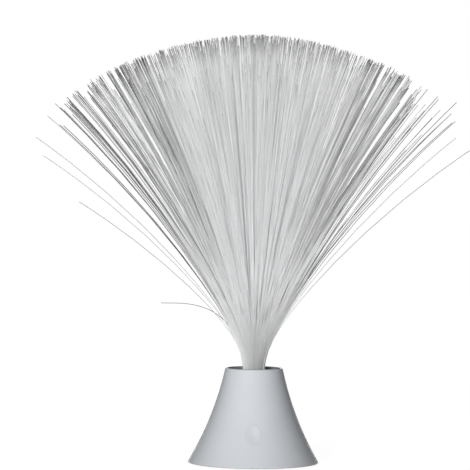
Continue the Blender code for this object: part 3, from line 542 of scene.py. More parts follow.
SHELL_FINISH = Moulded(
    "pale_satin_plastic",
    (0.70, 0.73, 0.765),
    0.42,
    specular=0.05,
    coat=1.0,
    coat_tint=0.8,
    coat_index=1.03,
    # Painted shade inside the rim recess
    bare_ends_and_recess_shade=(0.31, 0.32, 0.34),
)
INNER_FINISH = Moulded("pale_inner_plastic", (0.60, 0.62, 0.65), 0.52, grain_depth=0.012 * MM)
SLEEVE_FINISH = Moulded("white_sleeve_plastic", (0.74, 0.75, 0.76), 0.45)
HOLDER_FINISH = Moulded("white_holder_plastic", (0.78, 0.79, 0.79), 0.38)
PLUNGER_FINISH = Moulded("white_plunger_plastic", (0.78, 0.78, 0.77), 0.40)
SCREW_FINISH = PlatedMetal("zinc_plated_steel", (0.62, 0.62, 0.63), (0.45, 0.46, 0.48))
NICKEL_FINISH = PlatedMetal("nickel_plated_sheet", (0.70, 0.68, 0.63), (0.55, 0.52, 0.47))
EPOXY_FINISH = Lacquer("black_epoxy", (0.02, 0.02, 0.021), 0.3)
LENS_FINISH = Lacquer("clear_lens", (0.80, 0.83, 0.85), 0.08, 0.02)
RESISTOR_FINISH = Lacquer("tan_resistor_lacquer", (0.50, 0.33, 0.17), 0.35)
RED_FINISH = Lacquer("red_wire_vinyl", (0.45, 0.02, 0.015), 0.4)
BLACK_FINISH = Lacquer("black_wire_vinyl", (0.018, 0.018, 0.018), 0.4)
WHITE_FINISH = Lacquer("white_wire_vinyl", (0.74, 0.73, 0.71), 0.4, 0.04)


def placed(name: str, data: bpy.types.ID) -> bpy.types.Object:
    """Put a new object into the scene.

    Args:
        name: Its name.
        data: Its mesh, lamp or camera.

    Returns:
        The object.
    """
    made = bpy.data.objects.new(name, data)
    bpy.context.scene.collection.objects.link(made)
    return made


class Workshop:
    """Puts finished meshes into the scene as pieces of the lamp."""

    def __init__(self) -> None:
        """Start with no materials made and no solids replaced."""
        self._materials: dict[str, bpy.types.Material] = {}
        self.replaced: set[str] = set()

    def material(self, finish: Finish) -> bpy.types.Material:
        """The material of a finish, made once.

        Args:
            finish: The finish.

        Returns:
            Its material.
        """
        if finish.name not in self._materials:
            self._materials[finish.name] = finish.material()
        return self._materials[finish.name]

    def piece(
        self,
        name: str,
        shape: bpy.types.Mesh,
        finish: Finish,
        body: Body,
        slot: str,
        node: str,
    ) -> bpy.types.Object:
        """Add a piece that rides on a body.

        Args:
            name: The piece's name.
            shape: Its mesh, in the lamp's frame.
            finish: Its finish.
            body: The body that carries it.
            slot: The record's material slot; not used.
            node: The solid that it stands for.

        Returns:
            The piece.
        """
        made = placed(name, shape)
        shape.materials.clear()
        shape.materials.append(self.material(finish))
        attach(made, body.value)
        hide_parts(node)
        self.replaced.add(node)
        LOG.info("%s: %d faces on %s", name, len(shape.polygons), body.value)
        return made


def finished(bm: bmesh.types.BMesh, name: str, sharp: float = SHARP_ANGLE) -> bpy.types.Mesh:
    """Turn a bmesh into a smooth shaded mesh whose faces point out.

    Args:
        bm: The bmesh, which is freed.
        name: The mesh's name.
        sharp: Edges over this angle stay sharp.

    Returns:
        The mesh.
    """
    bmesh.ops.recalc_face_normals(bm, faces=bm.faces)
    shape = bpy.data.meshes.new(name)
    bm.to_mesh(shape)
    bm.free()
    shape.shade_smooth()
    shape.set_sharp_from_angle(angle=sharp)
    return shape


def smooth(value: float) -> float:
    """Ease from 0 to 1 as the value goes from 0 to 1, and stay there beyond."""
    held = min(max(value, 0.0), 1.0)
    return held * held * (3 - 2 * held)


def evenly(start: float, end: float, steps: int) -> list[float]:
    """Numbers from start to end in even steps, with both ends."""
    return [start + (end - start) * k / steps for k in range(steps + 1)]


def polar(radius: float, angle: float) -> Point2:
    """The point at a radius and an angle from +X."""
    return (radius * math.cos(angle), radius * math.sin(angle))


def arc(middle: Point2, radius: float, start: float, end: float, steps: int) -> list[Point2]:
    """Points along an arc from a start to an end in degrees, with both ends."""
    spots = [polar(radius, math.radians(turn)) for turn in evenly(start, end, steps)]
    return [(middle[0] + x, middle[1] + y) for x, y in spots]


def ring_solid(name: str, outline: Sequence[Point2], steps: int) -> bpy.types.Mesh:
    """Turn a closed (radius, height) outline about Z.

    Args:
        name: The mesh's name.
        outline: Points of the outline, none on the axis.
        steps: Facets in a full turn.

    Returns:
        The mesh.
    """
    bm = bmesh.new()
    rings = []
    for k in range(steps):
        turn = math.tau * k / steps
        rings.append([bm.verts.new((*polar(r, turn), z)) for r, z in outline])
    for k in range(steps):
        here, there = rings[k], rings[(k + 1) % steps]
        for j in range(len(outline)):
            after = (j + 1) % len(outline)
            bm.faces.new((here[j], there[j], there[after], here[after]))
    return finished(bm, name)


def lofted(name: str, rings: Sequence[Sequence[Vector]]) -> bpy.types.Mesh:
    """Skin rings of equally many points, and close both ends.

    Args:
        name: The mesh's name.
        rings: The rings, in order.

    Returns:
        The mesh.
    """
    bm = bmesh.new()
    rows = [[bm.verts.new(point) for point in ring] for ring in rings]
    for low, high in zip(rows, rows[1:]):
        for k in range(len(low)):
            after = (k + 1) % len(low)
            bm.faces.new((low[k], low[after], high[after], high[k]))
    bm.faces.new(rows[0])
    bm.faces.new(rows[-1])
    return finished(bm, name)


@dataclass
class Base:
    """The flared shell and the push button in it.

    The button's depths are measured along its axis, outwards from the shell's wall.
    """

    shop: Workshop
    height: float = field(default_factory=lambda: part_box("base_shell")[1].z)
    lift: float = field(default_factory=lambda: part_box("base_shell")[0].z)
    bottom_radius: float = field(default_factory=lambda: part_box("base_shell")[1].x)
    top_radius: float = 22.1 * MM
    waist: float = 3.1 * MM
    wall: float = 2.0 * MM
    foot_round: float = 0.4 * MM
    lip_round: float = 1.5 * MM
    lip_start: float = 8.0
    recess_depth: float = 8.0 * MM
    recess_fillet: float = 1.2 * MM
    socket_radius: float = 10.1 * MM
    socket_wall: float = 1.8 * MM
    socket_end: float = 42.0 * MM
    socket_chamfer: float = 0.3 * MM
    button_up: float = 25.0 * MM
    button_half: Point2 = (5.97 * MM, 8.17 * MM)
    button_dish: float = 0.9 * MM
    dish_rings: int = 24
    dish_share: float = 0.985
    button_rim: tuple[Point2, ...] = ((0.996, -0.01 * MM), (1.0, -0.05 * MM))
    hole_half: Point2 = (6.03 * MM, 8.23 * MM)
    hole_ends: tuple[float, float] = (-6 * MM, 2 * MM)
    flange: float = 1.6 * MM
    flange_gap: float = 0.45 * MM
    flange_thickness: float = 1.2 * MM
    stem_half: Point2 = (2.0 * MM, 2.0 * MM)
    stem_end: float = 3.8 * MM
    steps: int = 224
    oval_steps: int = 96
    wall_steps: int = 56
    inner_wall_steps: int = 24
    lip_steps: int = 14
    recess_steps: int = 6
    depth_tries: int = 8

    def __post_init__(self) -> None:
        """Work out the arc that the wall follows and the button's axis."""
        out, up = self.bottom_radius - self.top_radius, self.height - self.lift
        chord = math.hypot(out, up)
        self.bend = (chord**2 / 4 + self.waist**2) / (2 * self.waist)
        reach = (self.bend - self.waist) / chord
        self.arc_radius = (self.bottom_radius + self.top_radius) / 2 + reach * up
        self.arc_height = (self.height + self.lift) / 2 + reach * out
        self.slope = math.asin((self.arc_height - self.button_up) / self.bend)
        place = Vector((0, -self.wall_radius(self.button_up), self.button_up))
        turn = Matrix.Rotation(math.pi / 2 - self.slope, 4, "X")
        self.button_frame = Matrix.Translation(place) @ turn

    def wall_radius(self, height: float, inset: float = 0.0) -> float:
        """Radius at a height of the wall's outer face, or of a face that lies inset from it."""
        return self.arc_radius - math.sqrt((self.bend + inset) ** 2 - (height - self.arc_height) ** 2)

    def wall_depth(self, across: float, up: float) -> float:
        """How far out along the button's axis the outer face lies.

        Args:
            across: Place across the button.
            up: Place up the button.

        Returns:
            The distance from the button frame's origin.
        """
        depth = 0.0
        for _ in range(self.depth_tries):
            point = self.button_frame @ Vector((across, up, depth))
            miss = math.hypot(point.x, point.y) - self.wall_radius(point.z)
            depth -= miss * math.cos(self.slope)
        return depth

    def outline(self) -> list[Point2]:
        """The shell's section, with a round lip, a rounded foot and fillets in the recess.

        Returns:
            Its (radius, height) points.
        """
        crown, floor = self.height - self.lip_round, self.height - self.recess_depth
        heights = evenly(self.lift + self.foot_round, crown, self.wall_steps)
        points = [(self.wall_radius(z), z) for z in heights]
        middle = (self.wall_radius(crown) - self.lip_round, crown)
        points += arc(middle, self.lip_round, self.lip_start, 90, self.lip_steps)
        lip = middle[0] - self.wall_radius(crown, self.wall)
        points += arc((middle[0], self.height - lip), lip, 90, 180, self.lip_steps)[1:-1]
        heights = evenly(self.height - lip, floor + self.recess_fillet, self.recess_steps)
        points += [(self.wall_radius(z, self.wall), z) for z in heights]
        corner = self.wall_radius(floor + self.recess_fillet, self.wall) - self.recess_fillet
        fillet = (corner, floor + self.recess_fillet)
        points += arc(fillet, self.recess_fillet, 0, -90, self.recess_steps)[1:]
        points += [
            (self.socket_radius + self.socket_chamfer, floor),
            (self.socket_radius, floor - self.socket_chamfer),
            (self.socket_radius, self.socket_end),
            (self.socket_radius + self.socket_wall, self.socket_end),
            (self.socket_radius + self.socket_wall, floor - self.wall),
        ]
        heights = evenly(floor - self.wall, self.lift, self.inner_wall_steps)
        points += [(self.wall_radius(z, self.wall), z) for z in heights]
        points.append((self.bottom_radius - 2 * self.foot_round, self.lift))
        return points

    def oval(self, half: Point2, share: float = 1.0) -> list[Point2]:
        """Points of an oval about the button's axis, at a share of its half width and half height."""
        turns = [math.tau * k / self.oval_steps for k in range(self.oval_steps)]
        return [(half[0] * share * math.cos(a), half[1] * share * math.sin(a)) for a in turns]

    def build_shell(self) -> None:
        """Make the shell and cut the button's hole."""
        shape = ring_solid("base_shell_fine", self.outline(), self.steps)
        rings = [
            [self.button_frame @ Vector((x, y, z)) for x, y in self.oval(self.hole_half)]
            for z in self.hole_ends
        ]
        shape = self.cut(shape, lofted("button_hole", rings))
        self.shop.piece("flared_base_shell", shape, SHELL_FINISH, Body.BASE, "shell", "base_shell")

    @staticmethod
    def cut(shape: bpy.types.Mesh, cutter: bpy.types.Mesh) -> bpy.types.Mesh:
        """Cut one mesh out of another.

        Args:
            shape: The mesh that is cut.
            cutter: The closed mesh that is taken away.

        Returns:
            The mesh that is left.
        """
        target, tool = placed("target", shape), placed("tool", cutter)
        step = target.modifiers.new("cut", "BOOLEAN")
        step.operation = "DIFFERENCE"
        step.solver = "EXACT"
        step.object = tool
        graph = bpy.context.evaluated_depsgraph_get()
        result = bpy.data.meshes.new_from_object(target.evaluated_get(graph))
        for made in (target, tool):
            bpy.data.objects.remove(made, do_unlink=True)
        result.set_sharp_from_angle(angle=SHARP_ANGLE)
        return result

    def build_button(self) -> None:
        """Make the button's cap with its dished face, its flange and its stem."""
        rings = []
        for k in range(1, self.dish_rings + 1):
            share = k / (self.dish_rings + 1) * self.dish_share
            rings.append((share, -self.button_dish * (1 - share**2) ** 2))
        skins = []
        for share, lift in (*rings, *self.button_rim):
            oval = self.oval(self.button_half, share)
            skins.append([Vector((x, y, self.wall_depth(x, y) + lift)) for x, y in oval])
        wide = (self.button_half[0] + self.flange, self.button_half[1] + self.flange)
        front = min(self.wall_depth(x, y) for x, y in self.oval(wide)) - self.wall - self.flange_gap
        back = front - self.flange_thickness
        for half, depth in (
            (self.button_half, front),
            (wide, front),
            (wide, back),
            (self.stem_half, back),
            (self.stem_half, front - self.stem_end),
        ):
            skins.append([Vector((x, y, depth)) for x, y in self.oval(half)])
        shape = lofted("button_cap_fine", skins)
        shape.transform(self.button_frame)
        self.shop.piece("dished_button_cap", shape, SHELL_FINISH, Body.BUTTON, "button", "button_cap")


@dataclass(frozen=True)
class Ramp:
    """A smooth rise from 0 to a height, from a start on and over a width."""

    start: float
    width: float
    height: float = 1.0

    def at(self, value: float) -> float:
        """The height reached at a value."""
        return self.height * smooth((value - self.start) / self.width)


@dataclass(frozen=True)
class PaintedShade:
    """Painted shade on the fibres: how dark they are painted, from 0 for pale to 1 for dark.

    Fibres that stand alone are painted dark, most of all to the left and right, and so are the cut tips
    and the stretch just over the base's rim, which is painted darker on the right, away from the key
    lamp.
    Ramps of level go by the share of a fibre's length.
    """

    side_grey: float = 0.12
    side_grey_chance: float = 0.70
    side_grey_left: float = 0.15
    side: Ramp = Ramp(0.31, 0.20)
    lone: Ramp = Ramp(0.68, 0.25, 0.42)
    lone_in_front: float = 0.35
    level_rise: Ramp = Ramp(0.10, 0.62)
    level_rim: Ramp = Ramp(0.0, 0.30)
    rim: float = 0.37
    rim_right: float = 0.18
    level_end: Ramp = Ramp(0.93, 0.05, 0.48)
    level_tip: Ramp = Ramp(0.975, 0.025, 0.52)
    tip_loss_in_front: float = 0.8
    tip_loss_in_dark: float = 0.6
    chance: float = 0.10

    def along(self, reach: float, turn: float, chance: float, levels: Sequence[float]) -> list[float]:
        """How dark a fibre is painted along its length.

        Args:
            reach: Its lean share.
            turn: Its direction about Z.
            chance: The fibre's own random number.
            levels: Shares of its length.

        Returns:
            One value for each level.
        """
        right, side = math.cos(turn), abs(math.cos(turn))
        dark = (self.side_grey + self.side_grey_chance * chance**2) * (1 - self.side_grey_left * right)
        dark *= self.side.at(reach * side)
        dark += self.lone.at(reach) * (self.lone_in_front + (1 - self.lone_in_front) * side)
        tip_share = 1 - self.tip_loss_in_front * reach * math.sqrt(1 - side**2)
        tip_share *= 1 - self.tip_loss_in_dark * dark
        values = []
        for level in levels:
            # Painted shade over the rim, heavier on the right, the side away from the key lamp
            rim = (self.rim + self.rim_right * right) * (1 - self.level_rim.at(level))
            tip = (self.level_end.at(level) + self.level_tip.at(level)) * tip_share
            value = dark * self.level_rise.at(level) + rim + tip + self.chance * chance
            values.append(min(value, 1.0))
        return values


@dataclass(frozen=True)
class Stray:
    """A fibre placed one by one.

    The reach is its lean as a share of the fan's widest, the turn is about Z from +X in degrees, the
    length is a share of the common length, and the painted shade is how dark the fibre is painted.
    """

    reach: float
    turn: float
    length: float = 1.0
    painted_shade: float = 0.9


@dataclass(frozen=True)
class Fibre:
    """One fibre's line, from its foot to its tip, with its painted shade at each of its points."""

    reach: float
    radius: float
    points: list[Vector]
    painted_shade: list[float]


@dataclass
class FibreFan:
    """The bundle of fibres and the dome that it fans out into.

    A reach is a lean as a share of the fan's widest. The levels are shares of a fibre's free length, and
    each gap is a place and a half width, as shares of the fan's half width in the front view.

    Settling is how soon a fibre turns from its place in the bundle to its aim. Crowding and flare say how
    the aims follow from those places. Deeper is how much farther the front and back lean than the sides,
    and nearness is how much larger the front looks than the back in the photo.
    """

    shop: Workshop
    bundle_radius: float = 8.5 * MM
    pitch: float = 0.37 * MM
    fibre_radius: float = 0.178 * MM
    sides: int = 6
    tip_sharp: float = math.radians(75)
    foot: float = field(default_factory=lambda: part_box("fibre_spray")[0].z)
    fan_from: float = 73.5 * MM
    levels: tuple[float, ...] = (
        *(0, 0.03, 0.06, 0.1, 0.15, 0.22, 0.31, 0.42, 0.56),
        *(0.72, 0.86, 0.94, 0.97, 0.985, 1.0),
    )
    steps_per_level: int = 4
    length: float = 255.0 * MM
    length_spread: float = 0.6 * MM
    ragged_spread: float = 3.0 * MM
    edge_loss: float = 0.05
    edge_power: float = 4.0
    shoulder_loss: float = 0.011
    shoulder_loss_right: float = 0.4
    flat_top: float = 0.6
    flat_top_lean: float = math.radians(14)
    right: Ramp = Ramp(0.62, 0.18)
    right_missing: float = 0.56
    right_short: float = 0.20
    lean_at_rim: float = math.radians(4)
    lean_of_bend: float = math.radians(28.2)
    bend_length: float = 20.0 * MM
    lean_of_sag: float = math.radians(20)
    mean_lean: float = math.radians(38)
    settling: float = 6.0
    spread: float = 0.80
    crowding: float = 1.12
    flare: float = 0.12
    flare_power: float = 10.0
    reach_jitter: float = 0.05
    turn_jitter: float = math.radians(5)
    tuft_count: int = 210
    tuft_pull: float = 0.7
    tuft_pull_side: float = 0.75
    farthest: float = 1.02
    deeper: float = 0.16
    nearness: float = 0.07
    gaps: tuple[Point2, ...] = (
        (-0.925, 0.018),
        (-0.88, 0.012),
        (-0.83, 0.009),
        (-0.765, 0.009),
        (-0.61, 0.008),
        (0.54, 0.010),
        (0.685, 0.013),
        (0.82, 0.018),
        (0.90, 0.024),
        (0.953, 0.013),
    )
    painted_shade: PaintedShade = PaintedShade()
    pieces: int = 4
    seed: int = 7
    stray_radius: float = 0.26 * MM
    stray_root: float = 0.96
    stray_dark_from: float = 0.35
    strays: tuple[Stray, ...] = (
        Stray(0.96, 181, 0.93, 1.0),
        Stray(0.95, 184, 0.92, 1.0),
        Stray(0.97, 176, 0.98, 0.6),
        Stray(0.90, 180, 0.99, 0.75),
        Stray(0.85, 178, 0.96),
        Stray(0.88, 187, 0.93),
        Stray(1.08, 184, 0.95, 0.5),
        Stray(1.14, 177, 0.90, 0.5),
        Stray(1.25, 182, 0.72, 0.6),
        Stray(0.86, 158, 1.02),
        Stray(0.90, 200, 0.98),
        Stray(1.10, 0, 0.93, 0.7),
        Stray(1.01, 4, 0.92, 0.5),
        Stray(0.94, -3, 0.95, 0.8),
        Stray(0.88, 2, 1.0, 0.9),
        Stray(0.90, -4, 0.96, 0.8),
        Stray(0.80, 3, 0.98),
        Stray(0.81, -5, 0.97),
        Stray(0.74, 1, 0.98),
        Stray(0.70, -2, 0.96),
        Stray(0.66, 4, 0.98),
        Stray(0.96, 22, 0.98),
        Stray(1.00, -28, 0.97),
        Stray(0.98, 130, 0.96),
        Stray(1.02, 230, 0.95),
    )
    curl_turn: float = math.radians(180)
    curl_length: float = 92.0 * MM
    curl_bend: float = 86.0 * MM
    curl_lean: tuple[float, float] = (math.radians(9), math.radians(90))
    curl_steps: int = 36
    curl_painted_shade: float = 0.8
    curl_dark_from: float = 1 / 3

    def roots(self) -> list[Point2]:
        """Places of the fibres in the bundle, packed like a honeycomb.

        Returns:
            Their X and Y, as shares of the bundle's radius.
        """
        room = self.bundle_radius - self.fibre_radius
        row_pitch = self.pitch * math.sqrt(3) / 2
        rows = int(room / row_pitch) + 1
        places = []
        for row in range(-rows, rows + 1):
            shift = self.pitch / 2 * (row % 2)
            for column in range(-rows - 1, rows + 2):
                x, y = column * self.pitch + shift, row * row_pitch
                if math.hypot(x, y) <= room:
                    places.append((x / self.bundle_radius, y / self.bundle_radius))
        return places

    def lean(self, along: float, reach: float) -> float:
        """Lean from upright.

        Args:
            along: Length along the fibre from where the fan starts.
            reach: The fibre's lean share.

        Returns:
            The angle.
        """
        bend = 1 - math.exp(-along / self.bend_length)
        law = self.lean_at_rim + self.lean_of_bend * bend + self.lean_of_sag * along / self.length
        return reach * law

    def route(self, root: Point2, reach: float, turn: float, length: float) -> list[Vector]:
        """The line that one fibre follows.

        Args:
            root: Its place in the bundle, as shares of the bundle's radius.
            reach: Its lean share.
            turn: Its direction about Z.
            length: Its free length.

        Returns:
            Points from its lower end to its tip.
        """
        x, y = root[0] * self.bundle_radius, root[1] * self.bundle_radius
        own_reach, own_turn = math.hypot(*root), math.atan2(root[1], root[0])
        swing = (turn - own_turn + math.pi) % math.tau - math.pi
        spot = Vector((x, y, self.fan_from))
        points = [Vector((x, y, self.foot)), spot.copy()]
        for start, stop in zip(self.levels, self.levels[1:]):
            step = (stop - start) * length / self.steps_per_level
            for k in range(self.steps_per_level):
                along = start * length + (k + 0.5) * step
                ease = min(self.settling * along / length, 1.0)
                lean = self.lean(along, own_reach + (reach - own_reach) * ease)
                way = own_turn + swing * ease
                spot += step * Vector((*polar(math.sin(lean), way), math.cos(lean)))
            points.append(spot.copy())
        return points

    def aims(self, roots: Sequence[Point2], rng: random.Random) -> list[Point2]:
        """Lean share and direction of each fibre at its tip, gathered in loose tufts.

        Args:
            roots: The fibres' places in the bundle.
            rng: The source of chance.

        Returns:
            One (lean share, direction) for each root.
        """
        tufts = []
        for _ in range(self.tuft_count):
            away, turn = math.sqrt(rng.random()) * self.farthest, rng.uniform(0, math.tau)
            tufts.append(Vector(polar(away, turn)))
        aims = []
        for x, y in roots:
            own = math.hypot(x, y)
            reach = self.spread * own**self.crowding + self.flare * own**self.flare_power
            reach *= 1 + rng.gauss(0, self.reach_jitter)
            turn = math.atan2(y, x) + rng.gauss(0, self.turn_jitter)
            spot = Vector(polar(reach, turn))
            tuft = min(tufts, key=lambda t: (t - spot).length)
            pull = (1 - self.tuft_pull_side) * own + self.tuft_pull_side * abs(spot.x)
            spot = spot.lerp(tuft, self.tuft_pull * pull)
            reach, turn = min(spot.length, self.farthest), math.atan2(spot.y, spot.x)
            aims.append(self.parted(reach * self.deepening(reach, turn), turn))
        return aims

    def deepening(self, reach: float, turn: float) -> float:
        """How much farther out a fibre leans because it points to the front or the back."""
        return 1 + self.deeper * (reach * math.sin(turn)) ** 2

    def parted(self, reach: float, turn: float) -> tuple[float, float]:
        """Move a fibre's aim out of the gaps that show between the tufts at the sides.

        Args:
            reach: Its lean share.
            turn: Its direction about Z.

        Returns:
            The new lean share and direction.
        """
        flat = math.tan(reach * self.mean_lean)
        across, deep = flat * math.cos(turn), flat * math.sin(turn)
        near = 1 - self.nearness * deep
        seen = math.atan(across * near) / self.mean_lean
        for place, half in self.gaps:
            # Fibres up to twice the half width away close up outside it
            miss = seen - place
            if abs(miss) < 2 * half:
                seen = place + math.copysign(half, miss) + miss / 2
        across = math.tan(seen * self.mean_lean) / near
        return math.atan(math.hypot(across, deep)) / self.mean_lean, math.atan2(deep, across)

    def free_length(self, reach: float, turn: float, rng: random.Random) -> float:
        """How long one fibre is above the base.

        Args:
            reach: Its lean share.
            turn: Its direction about Z.
            rng: The source of chance.

        Returns:
            The length.
        """
        across = reach * math.cos(turn)
        length = self.length * (1 - self.edge_loss * reach**self.edge_power)
        length *= 1 - self.right_short * self.right.at(across) * rng.random()
        shoulder = math.sin(math.pi * across) ** 2
        length *= 1 - self.shoulder_loss * (1 + self.shoulder_loss_right * across) * shoulder
        deep = min(abs(reach * self.mean_lean * math.sin(turn)), self.flat_top_lean)
        length *= 1 + self.flat_top * (1 / math.cos(deep) - 1)
        spread = self.length_spread + self.ragged_spread * across**2
        return length + rng.uniform(-spread, spread)

    def build(self) -> None:
        """Make the fibres, in several meshes from the middle out."""
        rng = random.Random(self.seed)
        roots = self.roots()
        levels = (0.0, *self.levels)
        fibres = []
        for root, (reach, turn) in zip(roots, self.aims(roots, rng)):
            if rng.random() < self.right_missing * self.right.at(reach * math.cos(turn)):
                continue
            points = self.route(root, reach, turn, self.free_length(reach, turn, rng))
            # Painted shade: dark where the fibre stands alone, at the sides and the tip, and over the rim
            painted_shade = self.painted_shade.along(reach / self.deepening(reach, turn), turn, rng.random(), levels)
            fibres.append(Fibre(reach, self.fibre_radius, points, painted_shade))
        for stray in self.strays:
            turn = math.radians(stray.turn)
            root = polar(self.stray_root, turn)
            points = self.route(root, stray.reach, turn, stray.length * self.length)
            # Painted shade of a listed stray, darkening up from its foot
            painted_shade = [min(level / self.stray_dark_from, 1.0) * stray.painted_shade for level in levels]
            fibres.append(Fibre(stray.reach, self.stray_radius, points, painted_shade))
        fibres.append(self.curl())
        fibres.sort(key=lambda fibre: fibre.reach)
        LOG.info("%d fibres", len(fibres))
        for number in range(self.pieces):
            first, last = (len(fibres) * n // self.pieces for n in (number, number + 1))
            name = f"fibre_layer_{number + 1}"
            shape = self.skin(name, fibres[first:last])
            made = self.shop.piece(name, shape, ClearFibre(), Body.BASE, "fibre", "fibre_spray")
            # Half of the layers cast no shadow, because clear fibres let light into the fan
            made.visible_shadow = number % 2 == 0

    def curl(self) -> Fibre:
        """The short fibre on the left that curls down until it lies level.

        Returns:
            The fibre.
        """
        way = Vector((*polar(1.0, self.curl_turn), 0))
        root = way * (self.bundle_radius - self.fibre_radius)
        spot = root + Vector((0, 0, self.fan_from))
        points = [root + Vector((0, 0, self.foot)), spot.copy()]
        step = self.curl_length / self.curl_steps
        first, last = self.curl_lean
        for k in range(self.curl_steps):
            lean = first + (last - first) * smooth((k + 0.5) * step / self.curl_bend)
            spot += step * (way * math.sin(lean) + Vector((0, 0, math.cos(lean))))
            points.append(spot.copy())
        shares = (k / len(points) for k in range(len(points)))
        # Painted shade of the curled fibre, darkening up from its foot
        painted_shade = [self.curl_painted_shade * min(share / self.curl_dark_from, 1.0) for share in shares]
        return Fibre(1.0, self.stray_radius, points, painted_shade)

    def skin(self, name: str, fibres: Sequence[Fibre]) -> bpy.types.Mesh:
        """Give fibres their round skins, in one mesh.

        Args:
            name: The mesh's name.
            fibres: The fibres.

        Returns:
            The mesh, with each point's painted shade.
        """
        points: list[Vector] = []
        faces: list[list[int]] = []
        painted_shade: list[float] = []
        turns = [math.tau * k / self.sides for k in range(self.sides)]
        for fibre in fibres:
            ring = [polar(fibre.radius, turn) for turn in turns]
            first, count = len(points), len(fibre.points)
            for number, spot in enumerate(fibre.points):
                ahead = fibre.points[min(number + 1, count - 1)] - fibre.points[max(number - 1, 0)]
                side = Vector((0, 1, 0)).cross(ahead).normalized()
                other = ahead.cross(side).normalized()
                points += [spot + side * u + other * v for u, v in ring]
                painted_shade += [fibre.painted_shade[number]] * self.sides
            for level in range(count - 1):
                low = first + level * self.sides
                for k in range(self.sides):
                    after = (k + 1) % self.sides
                    faces.append([low + k, low + after, low + self.sides + after, low + self.sides + k])
            last = first + (count - 1) * self.sides
            faces.append([first + k for k in reversed(range(self.sides))])
            faces.append([last + k for k in range(self.sides)])
        shape = bpy.data.meshes.new(name)
        shape.from_pydata(points, [], faces)
        shape.attributes.new(PAINTED_SHADE, "FLOAT", "POINT").data.foreach_set("value", painted_shade)
        shape.shade_smooth()
        shape.set_sharp_from_angle(angle=self.tip_sharp)
        return shape


@dataclass(frozen=True)
class Dressing:
    """How a solid is carried over: its finish, its slot and the width of its edges."""

    finish: Finish
    slot: str
    edge: float


@dataclass
class Carried:
    """Every solid whose own shape shows: a copy with round edges and its finish."""

    shop: Workshop
    weld: float = 0.002 * MM
    flat_angle: float = math.radians(0.5)
    edge_angle: float = math.radians(40)
    edge_segments: int = 2
    round_sharp_angle: float = math.radians(25)

    @staticmethod
    def table() -> dict[str, Dressing]:
        """The dressing of each kind of solid.

        Returns:
            The dressings, by the start of the solid's name.
        """
        rows = (
            (INNER_FINISH, "inner_plastic", 0.2 * MM, "bottom_plate", "battery_door"),
            (SLEEVE_FINISH, "sleeve", 0.2 * MM, "bundle_sleeve"),
            (HOLDER_FINISH, "holder", 0.15 * MM, "led_holder"),
            (SoftRubber(), "rubber", 0.2 * MM, "foot_"),
            (SCREW_FINISH, "screw_steel", 0.08 * MM, "plate_screw_", "board_screw_", "switch_screw_"),
            (NICKEL_FINISH, "contact_metal", 0.0, "contact_spring_"),
            (NICKEL_FINISH, "contact_metal", 0.08 * MM, "terminal_", "link_plate_"),
            (CellWrap(), "cell", 0.15 * MM, "battery_1", "battery_2", "battery_3"),
            (CircuitLaminate(), "board", 0.05 * MM, "circuit_board", "switch_board"),
            (EPOXY_FINISH, "epoxy", 0.0, "controller_chip"),
            (EPOXY_FINISH, "epoxy", 0.1 * MM, "switch_housing"),
            (PLUNGER_FINISH, "plunger", 0.1 * MM, "switch_plunger"),
            (LENS_FINISH, "lens", 0.0, "led"),
            (RESISTOR_FINISH, "resistor", 0.15 * MM, "resistor"),
            (RED_FINISH, "red_wire", 0.0, "battery_lead_red"),
            (BLACK_FINISH, "black_wire", 0.0, "battery_lead_black"),
            (WHITE_FINISH, "white_wire", 0.0, "switch_lead_"),
        )
        return {
            start: Dressing(finish, slot, edge)
            for finish, slot, edge, *starts in rows
            for start in starts
        }

    def build(self) -> None:
        """Dress every solid that no finer piece stands for."""
        table = self.table()
        members = frame["record"]["behaviour"]["bodies"]
        for body in Body:
            for node in members[body.value]:
                if node not in self.shop.replaced:
                    start = max((start for start in table if node.startswith(start)), key=len)
                    self.dress(node, table[start], body)

    def dress(self, node: str, dressing: Dressing, body: Body) -> None:
        """Copy one solid, round its edges and give it its finish.

        Args:
            node: The solid's name.
            dressing: How it is dressed.
            body: The body that carries it.
        """
        bm = bmesh.new()
        bm.from_mesh(frame["nodes"][node].data)
        bmesh.ops.remove_doubles(bm, verts=bm.verts, dist=self.weld)
        bmesh.ops.dissolve_limit(bm, angle_limit=self.flat_angle, verts=bm.verts, edges=bm.edges)
        sharp = self.edge_angle
        if dressing.edge:
            edges = [e for e in bm.edges if len(e.link_faces) == 2 and e.calc_face_angle() > sharp]
            bmesh.ops.bevel(
                bm,
                geom=edges,
                offset=dressing.edge,
                offset_type="OFFSET",
                segments=self.edge_segments,
                profile=0.5,
                affect="EDGES",
                clamp_overlap=True,
            )
            sharp = self.round_sharp_angle
        shape = finished(bm, f"{node}_fine", sharp)
        self.shop.piece(f"{node}_dressed", shape, dressing.finish, body, dressing.slot, node)


@dataclass(frozen=True)
class Sun:
    """A lamp far away, with its turn, rise and spread in degrees. Turn 0 is in front, 90 at +X."""

    name: str
    turn: float
    rise: float
    strength: float
    spread: float

    def build(self) -> None:
        """Make the lamp, pointed at the object."""
        data = bpy.data.lights.new(self.name, "SUN")
        data.energy = self.strength
        data.angle = math.radians(self.spread)
        lamp = placed(self.name, data)
        a, e = math.radians(self.turn), math.radians(self.rise)
        source = Vector((math.sin(a) * math.cos(e), -math.cos(a) * math.cos(e), math.sin(e)))
        lamp.rotation_euler = (-source).to_track_quat("-Z", "Y").to_euler()


